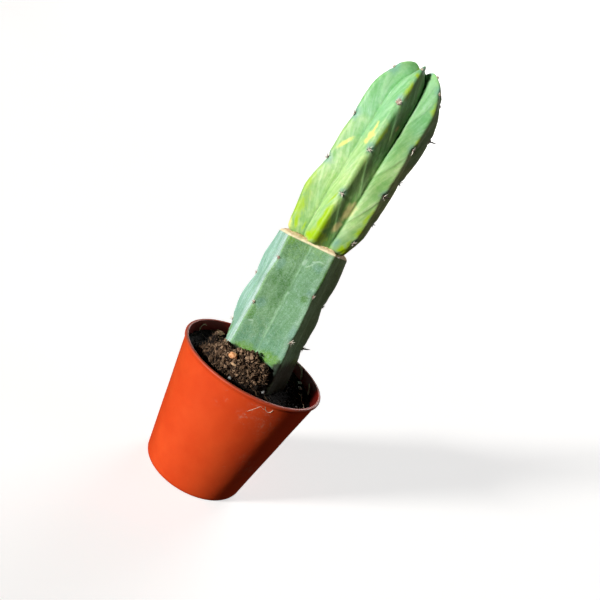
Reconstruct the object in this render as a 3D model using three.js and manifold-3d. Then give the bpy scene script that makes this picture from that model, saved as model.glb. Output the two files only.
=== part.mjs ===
// A grafted column cactus in a small terracotta-coloured plastic pot.
// Millimetres, +Z up. The origin is the centre of the pot's base, on the surface that the pot stands on.
// Azimuths are in degrees: 0 faces -Y, the front, and they grow towards +X, the right.
import * as THREE from 'three';
import { ParametricGeometry } from 'three/addons/geometries/ParametricGeometry.js';
import { mergeVertices } from 'three/addons/utils/BufferGeometryUtils.js';
import Module from 'manifold-3d';

const wasm = await Module();
wasm.setup();

const GAP = 0.3; // clearance between pieces that touch
const rad = THREE.MathUtils.degToRad;
const { abs, asin, atan2, cos, exp, hypot, max, min, sin, sqrt, PI } = Math;

const COLOURS = {
  terracotta: 0xc9502e,
  soil: 0x2a211b,
  stockSkin: 0x7fae8f,
  scionSkin: 0x8cc781,
  callus: 0xc9a877,
  spine: 0x8a7466,
  bark: 0xd98a52,
  perlite: 0xb9b6ae,
  straw: 0xb99f78,
};

// Driving dimensions
const POT_RIM_RADIUS = 35;
const POT_BASE_RADIUS = 24.5;
const POT_HEIGHT = 62;
const POT_WALL = 1;
const POT_FLOOR = 1.2;
const LIP_PROUD = 0.5;
const LIP_HEIGHT = 1.5;
const DRAIN_HOLES = 6;
const DRAIN_HOLE_RADIUS = 2.5;
const DRAIN_CIRCLE_RADIUS = 16;

const PLANT_FOOT = [-1.6, 0.7]; // where the rootstock's axis crosses the rim plane
const PLANT_LEAN_BACK = 7;
const PLANT_LEAN_LEFT = 2.75;

const STOCK_RIB_AZIMUTHS = [-111.2, -35.6, 37.5, 108.7, 180];
const STOCK_VALLEY_AZIMUTHS = [-73.4, 1, 73.1, 144.4, 214.4]; // each follows the rib of the same number
const STOCK_TOP_RADIUS = 18.4; // axis to a rib's crest, at the cut
const STOCK_FOOT_RADIUS = 20.9; // the same, at the rim plane
const STOCK_VALLEY_SHARE = 0.77; // a valley's radius over its crest's, at the cut
const STOCK_VALLEY_FLARE = 0.03; // a valley's radius grows this much per millimetre down
const STOCK_CUT_HEIGHT = 59.5; // above the rim plane, along the axis
const STOCK_FLARE_END = -9; // the crests grow outwards down to this height
const STOCK_FULL_FROM = -10; // below this height the buried part narrows to a round stump
const STOCK_BURIED = 30;
const STOCK_BURIED_RADIUS = 13;
const STOCK_STUMP = [{ rise: 6, scale: 0.85 }, { rise: 14, scale: 0.97 }]; // from the stump's foot
const STOCK_STEPS = 22;
const STOCK_SLICES = 40;
const CUT_SLOPE = [0.048, -0.039]; // rise of the cut per millimetre of x and y, across the rootstock
const CUT_TILT_START = 30; // the rootstock's rings begin to tilt towards the cut's slope at this height
const CREST_ROUNDING = 0.5; // what the rootstock's crests lose to their rounded edge
const STOCK_CREST_BEND = 1.3; // radius of that edge

const CALLUS_HEIGHT = 1.7;
const CALLUS_BEVEL = [{ rise: 0, scale: 0.985 }, { rise: 0.35, scale: 0.93 }, { rise: 1, scale: 0.78 }];

const SCION_OFFSET = 1.7; // the scion stands this far right of the rootstock's axis
const SCION_TURN = 4; // and leans this much more to the right
const SCION_RIB_AZIMUTHS = [-68, -8, 51, 110, 172, 232];
const SCION_VALLEY_AZIMUTHS = [-44, 23, 81, 141, 202, 262];
const SCION_VALLEY_RADII = [11.8, 12.2, 10.4, 10.6, 10.8, 11];
const SCION_RADIUS = 17.9;
const SCION_HEIGHT = 89.5; // above the cut, along the scion's axis
const SCION_CROWN_START = 60;
const SCION_SIDE_STEPS = 22;
const SCION_CROWN_STEPS = 13;
const SCION_SLICES = 60;
const SCION_DIMPLE = 4.5; // how far the growing point lies below the ribs
const SCION_DIMPLE_SPAN = 0.4; // the share of the radius that the dimple takes up
const SCION_BASE_SLOPE = [0.118, -0.039]; // rise of the base per millimetre of x and y
const SCION_BASE_TILT_END = 16; // the tilt of the lowest rings fades out up to this height
const WAIST_SHARE = 0.17; // how much the scion narrows at its base
const WAIST_REACH = 5;
const CROWN_POWER = 2.5; // the roundness of the ribs' arch, where 2 is a quarter ellipse
const SCION_CREST_BEND = 2.1; // radius of a rib's rounded edge
const SCION_CREST_BEND_SHARE = 0.12; // and its most, as a share of the crest's own radius
const FLANK_BULGE = 0.55; // how far the middle of a flank swells
const CREST_CROWDING = 1.4; // above 1, a skin's columns crowd towards the crests

const NOTCH_DEPTH = 0.8; // a crest dips this far at each areole
const NOTCH_HALF_WIDTH = 5;
// An areole's felt pad, turned about its axis
const PAD_OUTLINE = [[0, 0], [0.8, 0], [0.72, 0.3], [0.4, 0.5], [0, 0.55]];
const SPINE_RADIUS = 0.14;
const SPINE_ROOT = 0.15; // a spine starts this far above the foot of its pad

// Areole heights along each rib, from the rim plane on the rootstock and from the cut on the scion
const STOCK_AREOLES = [[11.3, 36], [27, 48.8], [18.7, 40.2], [14.1, 36], [24, 46]];
const SCION_AREOLES = [
  [35.8, 57.1, 82],
  [25.3, 46.3, 68.6, 85.5],
  [9.4, 33.7, 56, 81.3, 87.5],
  [21.5, 43, 65.4, 80],
  [12, 34, 56, 76, 86],
  [20, 42, 64, 82],
];

// Slow swells and waists of the ribs, on top of the notches
const STOCK_SWELLS = [
  [
    { height: 46, reach: 8, rise: 0.9 },
    { height: 24, reach: 8, rise: 0.9 },
    { height: -2, reach: 11, rise: -4.2 },
  ],
  [{ height: 38, reach: 8, rise: 0.3 }],
  [],
  [{ height: 49, reach: 8, rise: 0.8 }, { height: 26, reach: 7, rise: 0.4 }],
  [{ height: 35, reach: 9, rise: 0.6 }],
];
const SCION_SWELLS = [
  [{ height: 21, reach: 8, rise: 1.8 }],
  [],
  [{ height: 1, reach: 5, rise: -0.9 }],
  [{ height: 62, reach: 15, rise: 1.7 }, { height: 3, reach: 9, rise: -2.6 }],
  [{ height: 45, reach: 9, rise: 0.7 }],
  [{ height: 30, reach: 9, rise: 0.8 }],
];

// Long spines that stand out of the rest
const LONG_SPINES = { scion_areole_4_3: 5, rootstock_areole_4_1: 4.5, scion_areole_3_2: 3 };

// Soil: a few millimetres below the rim, heaped in front of the plant, low at the right
const SOIL_LEVEL = -5; // from the rim plane
// flat is the power that shapes a heap across x: 2 is a round top, 4 a flat one
const SOIL_HEAPS = [
  { rise: 12.3, at: [-5, -15], spread: [13.5, 11], flat: 4 },
  { rise: 2.5, at: [-20, -8], spread: [7.5, 6.5], flat: 2 },
  { rise: -4, at: [23, -3], spread: [9, 15], flat: 2 },
];
const SOIL_RINGS = 12;
const SOIL_SLICES = 56;

// Loose bits on the soil, each as long, wide and high as its size says
const LUMP_FOOT = -0.7; // where a lump's foot is cut, as a share of its half height
const LUMPS = [
  { name: 'bark_piece_orange', colour: COLOURS.bark, size: [4, 3.3, 2.6], at: [-9.3, -20.3], turn: 20 },
  { name: 'bark_flake_pale', colour: COLOURS.straw, size: [3, 1.3, 0.7], at: [-7.3, -22.5], turn: 10 },
  { name: 'bark_chip_tan', colour: COLOURS.straw, size: [4.6, 2.4, 1.6], at: [-22, 20], turn: -25 },
  { name: 'perlite_grain_1', colour: COLOURS.perlite, size: [2.1, 1.7, 1.5], at: [24, 17.2], turn: 15 },
  { name: 'perlite_grain_2', colour: COLOURS.perlite, size: [1.8, 2.2, 1.4], at: [25.1, 13.4], turn: 40 },
  { name: 'perlite_grain_3', colour: COLOURS.perlite, size: [2.4, 1.5, 1.2], at: [8.6, -21.8], turn: 25 },
  { name: 'perlite_grain_4', colour: COLOURS.perlite, size: [1.6, 1.5, 1.3], at: [12.9, -19.7], turn: 0 },
  { name: 'perlite_grain_5', colour: COLOURS.perlite, size: [1.7, 1.4, 1.1], at: [-5.6, -27.4], turn: 60 },
  { name: 'perlite_grain_6', colour: COLOURS.perlite, size: [1.5, 1.3, 1.1], at: [27.1, -3.6], turn: 75 },
];

// Strands, each by points with x, y and the lift off the soil. The straw, the sliver and the curl lean on the
// pot's wall.
const ROOT_FIBRE = [[25.3, 9], [27, 8], [27.8, 5.2], [28.2, 2.6], [29.6, 0.6], [30, -2.4]];
const STRAW_STRIP = [[29.8, 10.2, 0.1], [29.3, 13, 1.4], [28, 15.9, 2.8]];
const WOOD_SLIVER = [[17.6, 27.3, 4.3], [20.7, 25.1, 4.2], [22.7, 23, 2.8], [23.9, 21, 0.1]];
const ROOT_CURL = [[-30.2, 8.4, 0], [-30.6, 9.8, 1.4], [-29.9, 12, 2.8], [-28.8, 13.4, 2.2]];

function material(colour, roughness) {
  return new THREE.MeshStandardMaterial({ color: colour, roughness, metalness: 0 });
}

// Closed geometry with shared vertices and no collapsed faces
function closed(geometry) {
  const bare = geometry.clone();
  bare.deleteAttribute('normal');
  bare.deleteAttribute('uv');
  const merged = mergeVertices(bare, 1e-3);
  const index = merged.index.array;
  const kept = [];
  for (let i = 0; i < index.length; i += 3) {
    const [a, b, c] = index.slice(i, i + 3);
    if (a !== b && b !== c && c !== a) kept.push(a, b, c);
  }
  merged.setIndex(kept);
  return merged;
}

function toSolid(geometry) {
  const merged = closed(geometry);
  return new wasm.Manifold(new wasm.Mesh({
    numProp: 3,
    vertProperties: merged.attributes.position.array,
    triVerts: new Uint32Array(merged.index.array),
  }));
}

function fromSolid(solid) {
  const mesh = solid.getMesh();
  const geometry = new THREE.BufferGeometry();
  geometry.setAttribute('position', new THREE.BufferAttribute(mesh.vertProperties, 3));
  geometry.setIndex(new THREE.BufferAttribute(mesh.triVerts, 1));
  return geometry;
}

function named(name, geometry, colour, roughness) {
  const mesh = new THREE.Mesh(geometry, material(colour, roughness));
  geometry.computeVertexNormals();
  mesh.name = name;
  return mesh;
}

// Rings around Z, joined into one closed skin. place gives a ring's point at a turn from 0 to 1.
function ringSkin(rings, slices, place) {
  const last = rings.length - 1;
  const skin = (u, v, target) => {
    const [x, y, z] = place(rings[Math.round(v * last)], u);
    target.set(x, y, z);
  };
  return closed(new ParametricGeometry(skin, slices, last));
}

function direction(azimuth) {
  return [sin(rad(azimuth)), -cos(rad(azimuth))];
}

// Where a turn u, from 0 to 1, falls on a ribbed stem: the nearest rib, the valley beside it, the azimuth,
// the side, from 0 on the crest to 1 in the valley, and the angle between that crest and that valley
function ribAt(crests, valleys, u) {
  const count = crests.length;
  const turn = (u * count) % count;
  const before = Math.floor(turn);
  const share = turn - before;
  const rib = share < 0.5 ? before : (before + 1) % count;
  const side = (2 * min(share, 1 - share)) ** CREST_CROWDING;
  const toValley = (valleys[before] - crests[rib] + 540) % 360 - 180;
  return { rib, valley: before, side, azimuth: crests[rib] + toValley * side, half: abs(toValley) };
}

function notch(areoles, height) {
  return areoles.reduce((sum, h) => sum + NOTCH_DEPTH * exp(-(((height - h) / NOTCH_HALF_WIDTH) ** 2)), 0);
}

function swell(swells, height) {
  return swells.reduce((sum, s) => sum + s.rise * exp(-(((height - s.height) / s.reach) ** 2)), 0);
}

function slopeLift(slope, x, y) {
  return slope[0] * x + slope[1] * y;
}

// Rootstock: a short five-ribbed column, nearly flat between its crests, cut across at the top

function stockCrestRadius(rib, height) {
  const share = max(height, STOCK_FLARE_END) / STOCK_CUT_HEIGHT;
  const plain = STOCK_FOOT_RADIUS + (STOCK_TOP_RADIUS - STOCK_FOOT_RADIUS) * share;
  return plain + swell(STOCK_SWELLS[rib], height) - notch(STOCK_AREOLES[rib], height);
}

// The radius of a rib with straight flanks and an edge of some bend, seen along the axis. The rib is half wide on
// each side, in degrees, and the side is 0 on its crest and 1 in its valley.
function keel(side, crest, valley, half, bend) {
  const full = rad(half);
  const angle = side * full;
  const x = valley * cos(full);
  const y = valley * sin(full);
  const middle = crest - bend;
  const lean = atan2(y, middle - x) - asin(bend / hypot(middle - x, y));
  const onEdge = angle < atan2(bend * cos(lean), middle + bend * sin(lean));
  if (onEdge) return middle * cos(angle) + sqrt(bend ** 2 - (middle * sin(angle)) ** 2);
  return (x * sin(lean) + y * cos(lean)) / sin(angle + lean);
}

function stockFace(side, crest, valley, half) {
  return keel(side, crest - CREST_ROUNDING, valley, half, STOCK_CREST_BEND);
}

function stockRings() {
  const foot = -STOCK_BURIED;
  const rings = [
    { height: foot, scale: 0 },
    { height: foot, scale: STOCK_BURIED_RADIUS / STOCK_FOOT_RADIUS },
    ...STOCK_STUMP.map(({ rise, scale }) => ({ height: foot + rise, scale })),
  ];
  for (let i = 0; i <= STOCK_STEPS; i++) {
    const share = i / STOCK_STEPS;
    rings.push({ height: STOCK_FULL_FROM + (STOCK_CUT_HEIGHT - STOCK_FULL_FROM) * share, scale: 1 });
  }
  rings.push({ height: STOCK_CUT_HEIGHT, scale: 0 });
  return rings;
}

// How far a point on the rootstock moves up so that the rings come to lie along the cut
function stockLift(x, y, height) {
  const tilt = max(0, (height - CUT_TILT_START) / (STOCK_CUT_HEIGHT - CUT_TILT_START));
  return slopeLift(CUT_SLOPE, x, y) * tilt;
}

function stockPoint({ height, scale }, u, grow) {
  const { rib, azimuth, side, half } = ribAt(STOCK_RIB_AZIMUTHS, STOCK_VALLEY_AZIMUTHS, u);
  const valley = STOCK_TOP_RADIUS * STOCK_VALLEY_SHARE + (STOCK_CUT_HEIGHT - height) * STOCK_VALLEY_FLARE;
  const radius = scale && stockFace(side, stockCrestRadius(rib, height), valley, half) * scale + grow;
  const [dx, dy] = direction(azimuth);
  const x = dx * radius;
  const y = dy * radius;
  return [x, y, height + stockLift(x, y, height)];
}

function stockGeometry(grow = 0) {
  const rings = stockRings();
  rings[0].height -= grow;
  rings[1].height -= grow;
  return ringSkin(rings, STOCK_SLICES, (ring, u) => stockPoint(ring, u, grow));
}

// Dried flesh of the cut, a bevelled pad between the rootstock's skin and the scion's base

function callusGeometry() {
  const foot = STOCK_CUT_HEIGHT + GAP;
  const rings = [
    { height: foot, scale: 0 },
    ...CALLUS_BEVEL.map(({ rise, scale }) => ({ height: foot + rise * CALLUS_HEIGHT, scale })),
    { height: foot + CALLUS_HEIGHT, scale: 0 },
  ];
  return ringSkin(rings, STOCK_SLICES, (ring, u) => {
    const { azimuth, side, half } = ribAt(STOCK_RIB_AZIMUTHS, STOCK_VALLEY_AZIMUTHS, u);
    const valley = STOCK_TOP_RADIUS * STOCK_VALLEY_SHARE;
    const radius = stockFace(side, STOCK_TOP_RADIUS, valley, half) * ring.scale;
    const [dx, dy] = direction(azimuth);
    const x = dx * radius;
    const y = dy * radius;
    return [x, y, ring.height + slopeLift(CUT_SLOPE, x, y)];
  });
}

// Scion: a six-ribbed column with deep valleys, whose ribs arch over a sunken growing point

// How much a radius narrows towards the base
function waist(height) {
  return 1 - WAIST_SHARE * exp(-height / WAIST_REACH);
}

// How much a radius keeps as the ribs close over the crown
function crownShare(height) {
  const rise = max(0, (height - SCION_CROWN_START) / (SCION_HEIGHT - SCION_CROWN_START));
  return (1 - min(1, rise) ** CROWN_POWER) ** (1 / CROWN_POWER);
}

function scionCrestRadius(rib, height) {
  const share = crownShare(height);
  const full = SCION_RADIUS + swell(SCION_SWELLS[rib], height);
  return full * waist(height) * share - notch(SCION_AREOLES[rib], height) * min(1, 3 * share);
}

// Each ring has the heights of its crests and valleys, the height that sets its crests' radius, before the dimple,
// and the share of the full radius that its valleys keep
function scionRings() {
  const base = CALLUS_HEIGHT + 2 * GAP;
  const rings = [{ crest: base, valley: base, share: 0 }];
  for (let i = 0; i <= SCION_SIDE_STEPS; i++) {
    const height = base + (SCION_CROWN_START - base) * i / SCION_SIDE_STEPS;
    rings.push({ crest: height, valley: height, edge: height, share: 1 });
  }
  const rise = SCION_HEIGHT - SCION_CROWN_START;
  for (let i = 1; i <= SCION_CROWN_STEPS; i++) {
    const angle = rad(90 * i / SCION_CROWN_STEPS);
    const inward = i < SCION_CROWN_STEPS ? cos(angle) ** (2 / CROWN_POWER) : 0;
    const upward = sin(angle) ** (2 / CROWN_POWER);
    const dimple = SCION_DIMPLE * max(0, 1 - inward / SCION_DIMPLE_SPAN) ** 2;
    rings.push({
      crest: SCION_CROWN_START + rise * upward - dimple,
      valley: SCION_CROWN_START + (rise - SCION_DIMPLE) * upward,
      edge: SCION_CROWN_START + rise * upward,
      share: inward,
    });
  }
  return rings;
}

// How far a point on the scion moves up so that the lowest rings come to lie along the cut
function scionLift(x, y, height) {
  return slopeLift(SCION_BASE_SLOPE, x, y) * max(0, 1 - height / SCION_BASE_TILT_END);
}

function scionPoint(ring, u) {
  if (!ring.share) return [0, 0, ring.valley];
  const { rib, valley, azimuth, side, half } = ribAt(SCION_RIB_AZIMUTHS, SCION_VALLEY_AZIMUTHS, u);
  const crestRadius = scionCrestRadius(rib, ring.edge);
  const valleyRadius = SCION_VALLEY_RADII[valley] * waist(ring.valley) * ring.share;
  const bend = min(SCION_CREST_BEND, SCION_CREST_BEND_SHARE * crestRadius);
  const flank = keel(side, crestRadius, valleyRadius, half, bend);
  const share = (flank - valleyRadius) / (crestRadius - valleyRadius);
  const height = ring.valley + (ring.crest - ring.valley) * share;
  const radius = flank + FLANK_BULGE * sin(PI * side) * ring.share;
  const [dx, dy] = direction(azimuth);
  const x = dx * radius;
  const y = dy * radius;
  return [x, y, height + scionLift(x, y, height)];
}

// Areoles: a felt pad with a few short spines, set in each notch of a crest

function spineClusterGeometry(spines) {
  const pad = PAD_OUTLINE.map(([r, z]) => new THREE.Vector2(r, z));
  let solid = toSolid(new THREE.LatheGeometry(pad, 8).rotateX(PI / 2));
  for (const { length, tilt, turn } of spines) {
    const cone = new THREE.ConeGeometry(SPINE_RADIUS, length, 4).translate(0, length / 2, 0).rotateX(PI / 2);
    cone.rotateX(rad(tilt)).rotateZ(rad(turn)).translate(0, 0, SPINE_ROOT);
    solid = solid.add(toSolid(cone));
  }
  return fromSolid(solid);
}

// Spine lengths and leans vary from areole to areole in a fixed rhythm
function spinesFor(number, long) {
  const count = 3 + number % 2;
  const spines = [];
  for (let i = 0; i < count; i++) {
    spines.push({
      length: 1.1 + 0.35 * ((number * 2 + i) % 3),
      tilt: 38 + 7 * ((number + i) % 3),
      turn: 360 / count * i + 25 * (number % 4),
    });
  }
  if (long) spines.push({ length: long, tilt: 12, turn: 40 });
  return spines;
}

function addAreoles(group, prefix, ribAzimuths, heights, crestRadius, lift) {
  let number = 0;
  ribAzimuths.forEach((azimuth, rib) => heights[rib].forEach((height, k) => {
    const name = `${prefix}_areole_${rib + 1}_${k + 1}`;
    const step = 0.4;
    const radius = crestRadius(rib, height);
    const outward = (crestRadius(rib, height - step) - crestRadius(rib, height + step)) / (2 * step);
    const [dx, dy] = direction(azimuth);
    const normal = new THREE.Vector3(dx, dy, outward).normalize();
    const mesh = named(name, spineClusterGeometry(spinesFor(number, LONG_SPINES[name])), COLOURS.spine, 0.8);
    mesh.quaternion.setFromUnitVectors(new THREE.Vector3(0, 0, 1), normal);
    mesh.position.set(dx * radius, dy * radius, height + lift(dx * radius, dy * radius, height));
    mesh.position.addScaledVector(normal, GAP);
    group.add(mesh);
    number += 1;
  }));
}

// Pot: a plain tapered cup with a thin rounded lip and drain holes in its floor

function potOuterRadius(z) {
  return POT_BASE_RADIUS + (POT_RIM_RADIUS - LIP_PROUD - POT_BASE_RADIUS) * z / POT_HEIGHT;
}

function potInnerRadius(z) {
  return potOuterRadius(z) - POT_WALL;
}

function potGeometry() {
  const lip = POT_HEIGHT - LIP_HEIGHT;
  const foot = 1.2;
  const lipInner = potInnerRadius(POT_HEIGHT);
  const outline = [
    [0, 0],
    [POT_BASE_RADIUS - foot, 0],
    [POT_BASE_RADIUS - 0.3 * foot, 0.3 * foot],
    [potOuterRadius(foot), foot],
    [potOuterRadius(lip), lip],
    [POT_RIM_RADIUS, lip + 0.4],
    [POT_RIM_RADIUS, POT_HEIGHT - 0.5],
    [POT_RIM_RADIUS - 0.5, POT_HEIGHT],
    [lipInner + 0.3, POT_HEIGHT],
    [lipInner, POT_HEIGHT - 0.4],
    [potInnerRadius(POT_FLOOR), POT_FLOOR],
    [0, POT_FLOOR],
  ].map(([r, z]) => new THREE.Vector2(r, z));
  let solid = toSolid(new THREE.LatheGeometry(outline, 72).rotateX(PI / 2));
  for (let k = 0; k < DRAIN_HOLES; k++) {
    const [dx, dy] = direction(30 + 360 / DRAIN_HOLES * k);
    const hole = new THREE.CylinderGeometry(DRAIN_HOLE_RADIUS, DRAIN_HOLE_RADIUS, 4 * POT_FLOOR, 16);
    hole.rotateX(PI / 2).translate(dx * DRAIN_CIRCLE_RADIUS, dy * DRAIN_CIRCLE_RADIUS, POT_FLOOR / 2);
    solid = solid.subtract(toSolid(hole));
  }
  return fromSolid(solid);
}

// Soil: fills the pot up to its heaps

function soilHeight(x, y) {
  const heaps = SOIL_HEAPS.reduce((sum, { rise, at, spread, flat }) => {
    const away = ((x - at[0]) / spread[0]) ** flat + ((y - at[1]) / spread[1]) ** 2;
    return sum + rise * exp(-away);
  }, 0);
  return POT_HEIGHT + SOIL_LEVEL + heaps;
}

function soilGeometry() {
  const floor = POT_FLOOR + GAP;
  const edge = POT_HEIGHT + SOIL_LEVEL;
  const rings = [{ share: 0, height: floor }, { share: 1, height: floor }];
  for (let i = SOIL_RINGS; i >= 0; i--) rings.push({ share: i / SOIL_RINGS, height: null });
  return ringSkin(rings, SOIL_SLICES, ({ share, height }, u) => {
    const [dx, dy] = direction(360 * u);
    const reach = potInnerRadius(height === null ? edge : height) - 1.2 * GAP;
    const radius = reach * share;
    const z = height === null ? soilHeight(dx * radius, dy * radius) : height;
    return [dx * radius, dy * radius, z];
  });
}

// A broken lump, from an icosahedron with uneven sides and a flattened foot
function lumpGeometry(width, depth, height, seed) {
  const lump = new THREE.IcosahedronGeometry(1, 1);
  const position = lump.attributes.position;
  const point = new THREE.Vector3();
  for (let i = 0; i < position.count; i++) {
    point.fromBufferAttribute(position, i);
    const broad = 0.14 * sin(3.1 * point.x + seed) * cos(2.7 * point.y - seed);
    const fine = 0.08 * sin(5 * point.z + 2 * seed);
    point.multiplyScalar(1 + broad + fine);
    point.set(point.x * width / 2, point.y * depth / 2, max(point.z, LUMP_FOOT) * height / 2);
    position.setXYZ(i, point.x, point.y, point.z);
  }
  return closed(lump);
}

function soilNormal(x, y) {
  const step = 0.8;
  const dx = (soilHeight(x + step, y) - soilHeight(x - step, y)) / (2 * step);
  const dy = (soilHeight(x, y + step) - soilHeight(x, y - step)) / (2 * step);
  return new THREE.Vector3(-dx, -dy, 1).normalize();
}

function layOnSoil(mesh, x, y, turn, above) {
  const normal = soilNormal(x, y);
  mesh.quaternion.setFromUnitVectors(new THREE.Vector3(0, 0, 1), normal);
  mesh.rotateZ(rad(turn));
  mesh.position.set(x, y, soilHeight(x, y)).addScaledVector(normal, above);
  return mesh;
}

function lumps() {
  return LUMPS.map(({ name, colour, size, at, turn }, k) => {
    const mesh = named(name, lumpGeometry(...size, k + 1), colour, 0.85);
    return layOnSoil(mesh, ...at, turn, 0.39 * size[2] + 1.3 * GAP);
  });
}

// A thin strand along a smooth path
function strandGeometry(points, width, thickness, sides, steps) {
  const outline = new THREE.Shape();
  for (let i = 0; i < sides; i++) {
    const angle = 2 * PI * i / sides;
    const [x, y] = [thickness / 2 * cos(angle), width / 2 * sin(angle)];
    if (i === 0) outline.moveTo(x, y);
    else outline.lineTo(x, y);
  }
  const above = thickness / 2 + 1.8 * GAP;
  const route = points.map(([x, y, rise = 0]) => new THREE.Vector3(x, y, soilHeight(x, y) + above + rise));
  const path = new THREE.CatmullRomCurve3(route);
  return closed(new THREE.ExtrudeGeometry(outline, { steps, bevelEnabled: false, extrudePath: path }));
}

function strands() {
  return [
    named('root_fibre', strandGeometry(ROOT_FIBRE, 0.5, 0.5, 6, 16), COLOURS.straw, 0.8),
    named('straw_strip', strandGeometry(STRAW_STRIP, 1.4, 0.5, 6, 6), COLOURS.straw, 0.8),
    named('wood_sliver', strandGeometry(WOOD_SLIVER, 0.9, 0.8, 6, 8), COLOURS.straw, 0.85),
    named('root_curl', strandGeometry(ROOT_CURL, 0.5, 0.5, 6, 8), COLOURS.straw, 0.8),
  ];
}

// Assembly

const root = new THREE.Group();

const plant = new THREE.Group();
plant.position.set(...PLANT_FOOT, POT_HEIGHT);
plant.rotation.set(rad(-PLANT_LEAN_BACK), rad(-PLANT_LEAN_LEFT), 0);
plant.add(named('rootstock', stockGeometry(), COLOURS.stockSkin, 0.6));
plant.add(named('graft_callus', callusGeometry(), COLOURS.callus, 0.9));
addAreoles(
  plant,
  'rootstock',
  STOCK_RIB_AZIMUTHS,
  STOCK_AREOLES,
  (rib, height) => stockCrestRadius(rib, height) - CREST_ROUNDING,
  stockLift,
);

const scion = new THREE.Group();
scion.position.set(SCION_OFFSET, 0, STOCK_CUT_HEIGHT + CUT_SLOPE[0] * SCION_OFFSET);
scion.rotation.y = rad(SCION_TURN);
scion.add(named('scion', ringSkin(scionRings(), SCION_SLICES, scionPoint), COLOURS.scionSkin, 0.55));
addAreoles(
  scion,
  'scion',
  SCION_RIB_AZIMUTHS,
  SCION_AREOLES,
  scionCrestRadius,
  scionLift,
);
plant.add(scion);

plant.updateMatrixWorld(true);
const socket = toSolid(stockGeometry(GAP).applyMatrix4(plant.matrixWorld));
const soil = fromSolid(toSolid(soilGeometry()).subtract(socket));

root.add(plant);
root.add(named('pot', potGeometry(), COLOURS.terracotta, 0.45));
root.add(named('soil', soil, COLOURS.soil, 0.95));
root.add(...lumps(), ...strands());

export default root;
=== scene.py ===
"""The looks of a grafted column cactus in a small plastic pot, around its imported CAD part.

Shapes are worked out in millimetres and placed in metres. Azimuths are in degrees: 0 faces the front, -Y,
and they grow towards the right, +X. A stem's own frame has its axis along Z and its foot at the origin.
"""

import math
import random
from types import SimpleNamespace

import bmesh
import bpy
import numpy as np
from mathutils import Matrix, Vector, noise


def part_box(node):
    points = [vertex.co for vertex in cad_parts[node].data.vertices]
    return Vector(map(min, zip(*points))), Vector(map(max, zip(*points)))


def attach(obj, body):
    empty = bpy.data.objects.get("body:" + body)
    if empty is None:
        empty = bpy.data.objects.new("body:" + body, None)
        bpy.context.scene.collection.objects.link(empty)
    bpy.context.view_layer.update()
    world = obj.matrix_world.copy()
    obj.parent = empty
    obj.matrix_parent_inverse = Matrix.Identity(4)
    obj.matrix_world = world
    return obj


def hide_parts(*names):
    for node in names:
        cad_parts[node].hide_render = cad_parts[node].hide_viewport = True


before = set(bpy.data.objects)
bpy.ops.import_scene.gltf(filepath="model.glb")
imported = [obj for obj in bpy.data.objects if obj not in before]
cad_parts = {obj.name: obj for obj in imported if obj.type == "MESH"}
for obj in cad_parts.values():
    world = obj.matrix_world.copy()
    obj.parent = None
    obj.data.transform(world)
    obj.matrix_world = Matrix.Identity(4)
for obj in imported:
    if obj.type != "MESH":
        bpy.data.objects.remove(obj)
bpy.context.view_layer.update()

MM = 0.001
GAP = 0.3  # clearance between pieces that touch
SEED = 7
draw = random.Random(SEED)
noise.seed_set(SEED)  # without it the crumbs' rough skin differs from run to run

# Camera: the eye looks down at the rim from the front, and the picture is rolled so that the plant leans
# to the right
PICTURE_PIXELS = 600
SENSOR_MM = 36
FOCAL_PIXELS = 648.4844
EYE_DISTANCE = 300
EYE_ELEVATION = 21.836
AIM_RIGHT = 0.635
AIM_UP = 6.678
ROLL = 30.598

# Pot
RIM_RADIUS = 35
BASE_RADIUS = 24.5
POT_HEIGHT = 62
WALL = 1
FLOOR = 1.2
LIP_PROUD = 0.5
LIP_HEIGHT = 1.5
DRAIN_HOLES = 6
DRAIN_HOLE_RADIUS = 2.5
DRAIN_CIRCLE_RADIUS = 16

# Rootstock
PLANT_FOOT = (-1.6, 0.7)
PLANT_LEAN_BACK = 7
PLANT_LEAN_LEFT = 2.75
STOCK_RIBS = np.array([-111.2, -35.6, 37.5, 108.7, 180])
STOCK_VALLEYS = np.array([-73.4, 1, 73.1, 144.4, 214.4])
STOCK_TOP_RADIUS = 18.4
STOCK_FOOT_RADIUS = 20.9
STOCK_VALLEY_SHARE = 0.77
STOCK_VALLEY_FLARE = 0.03
STOCK_CUT = 59.5
STOCK_FLARE_END = -9
STOCK_STUMP = [(-30, 0), (-30, 0.62), (-24, 0.85), (-16, 0.97)]  # heights and shares of the full radius
CUT_SLOPE = (0.048, -0.039)
CUT_TILT_START = 30
CREST_ROUNDING = 0.5
STOCK_CREST_BEND = 1.3
STOCK_AREOLES = [[11.3, 36], [27, 48.8], [18.7, 40.2], [14.1, 36], [24, 46]]
# Slow swells of each rib: height, reach and rise
STOCK_SWELLS = [
    [(46, 8, 0.9), (24, 8, 0.9), (-2, 11, -4.2)],
    [(38, 8, 0.3)],
    [],
    [(49, 8, 0.8), (26, 7, 0.4)],
    [(35, 9, 0.6)],
]
CALLUS_HEIGHT = 1.7

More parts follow.
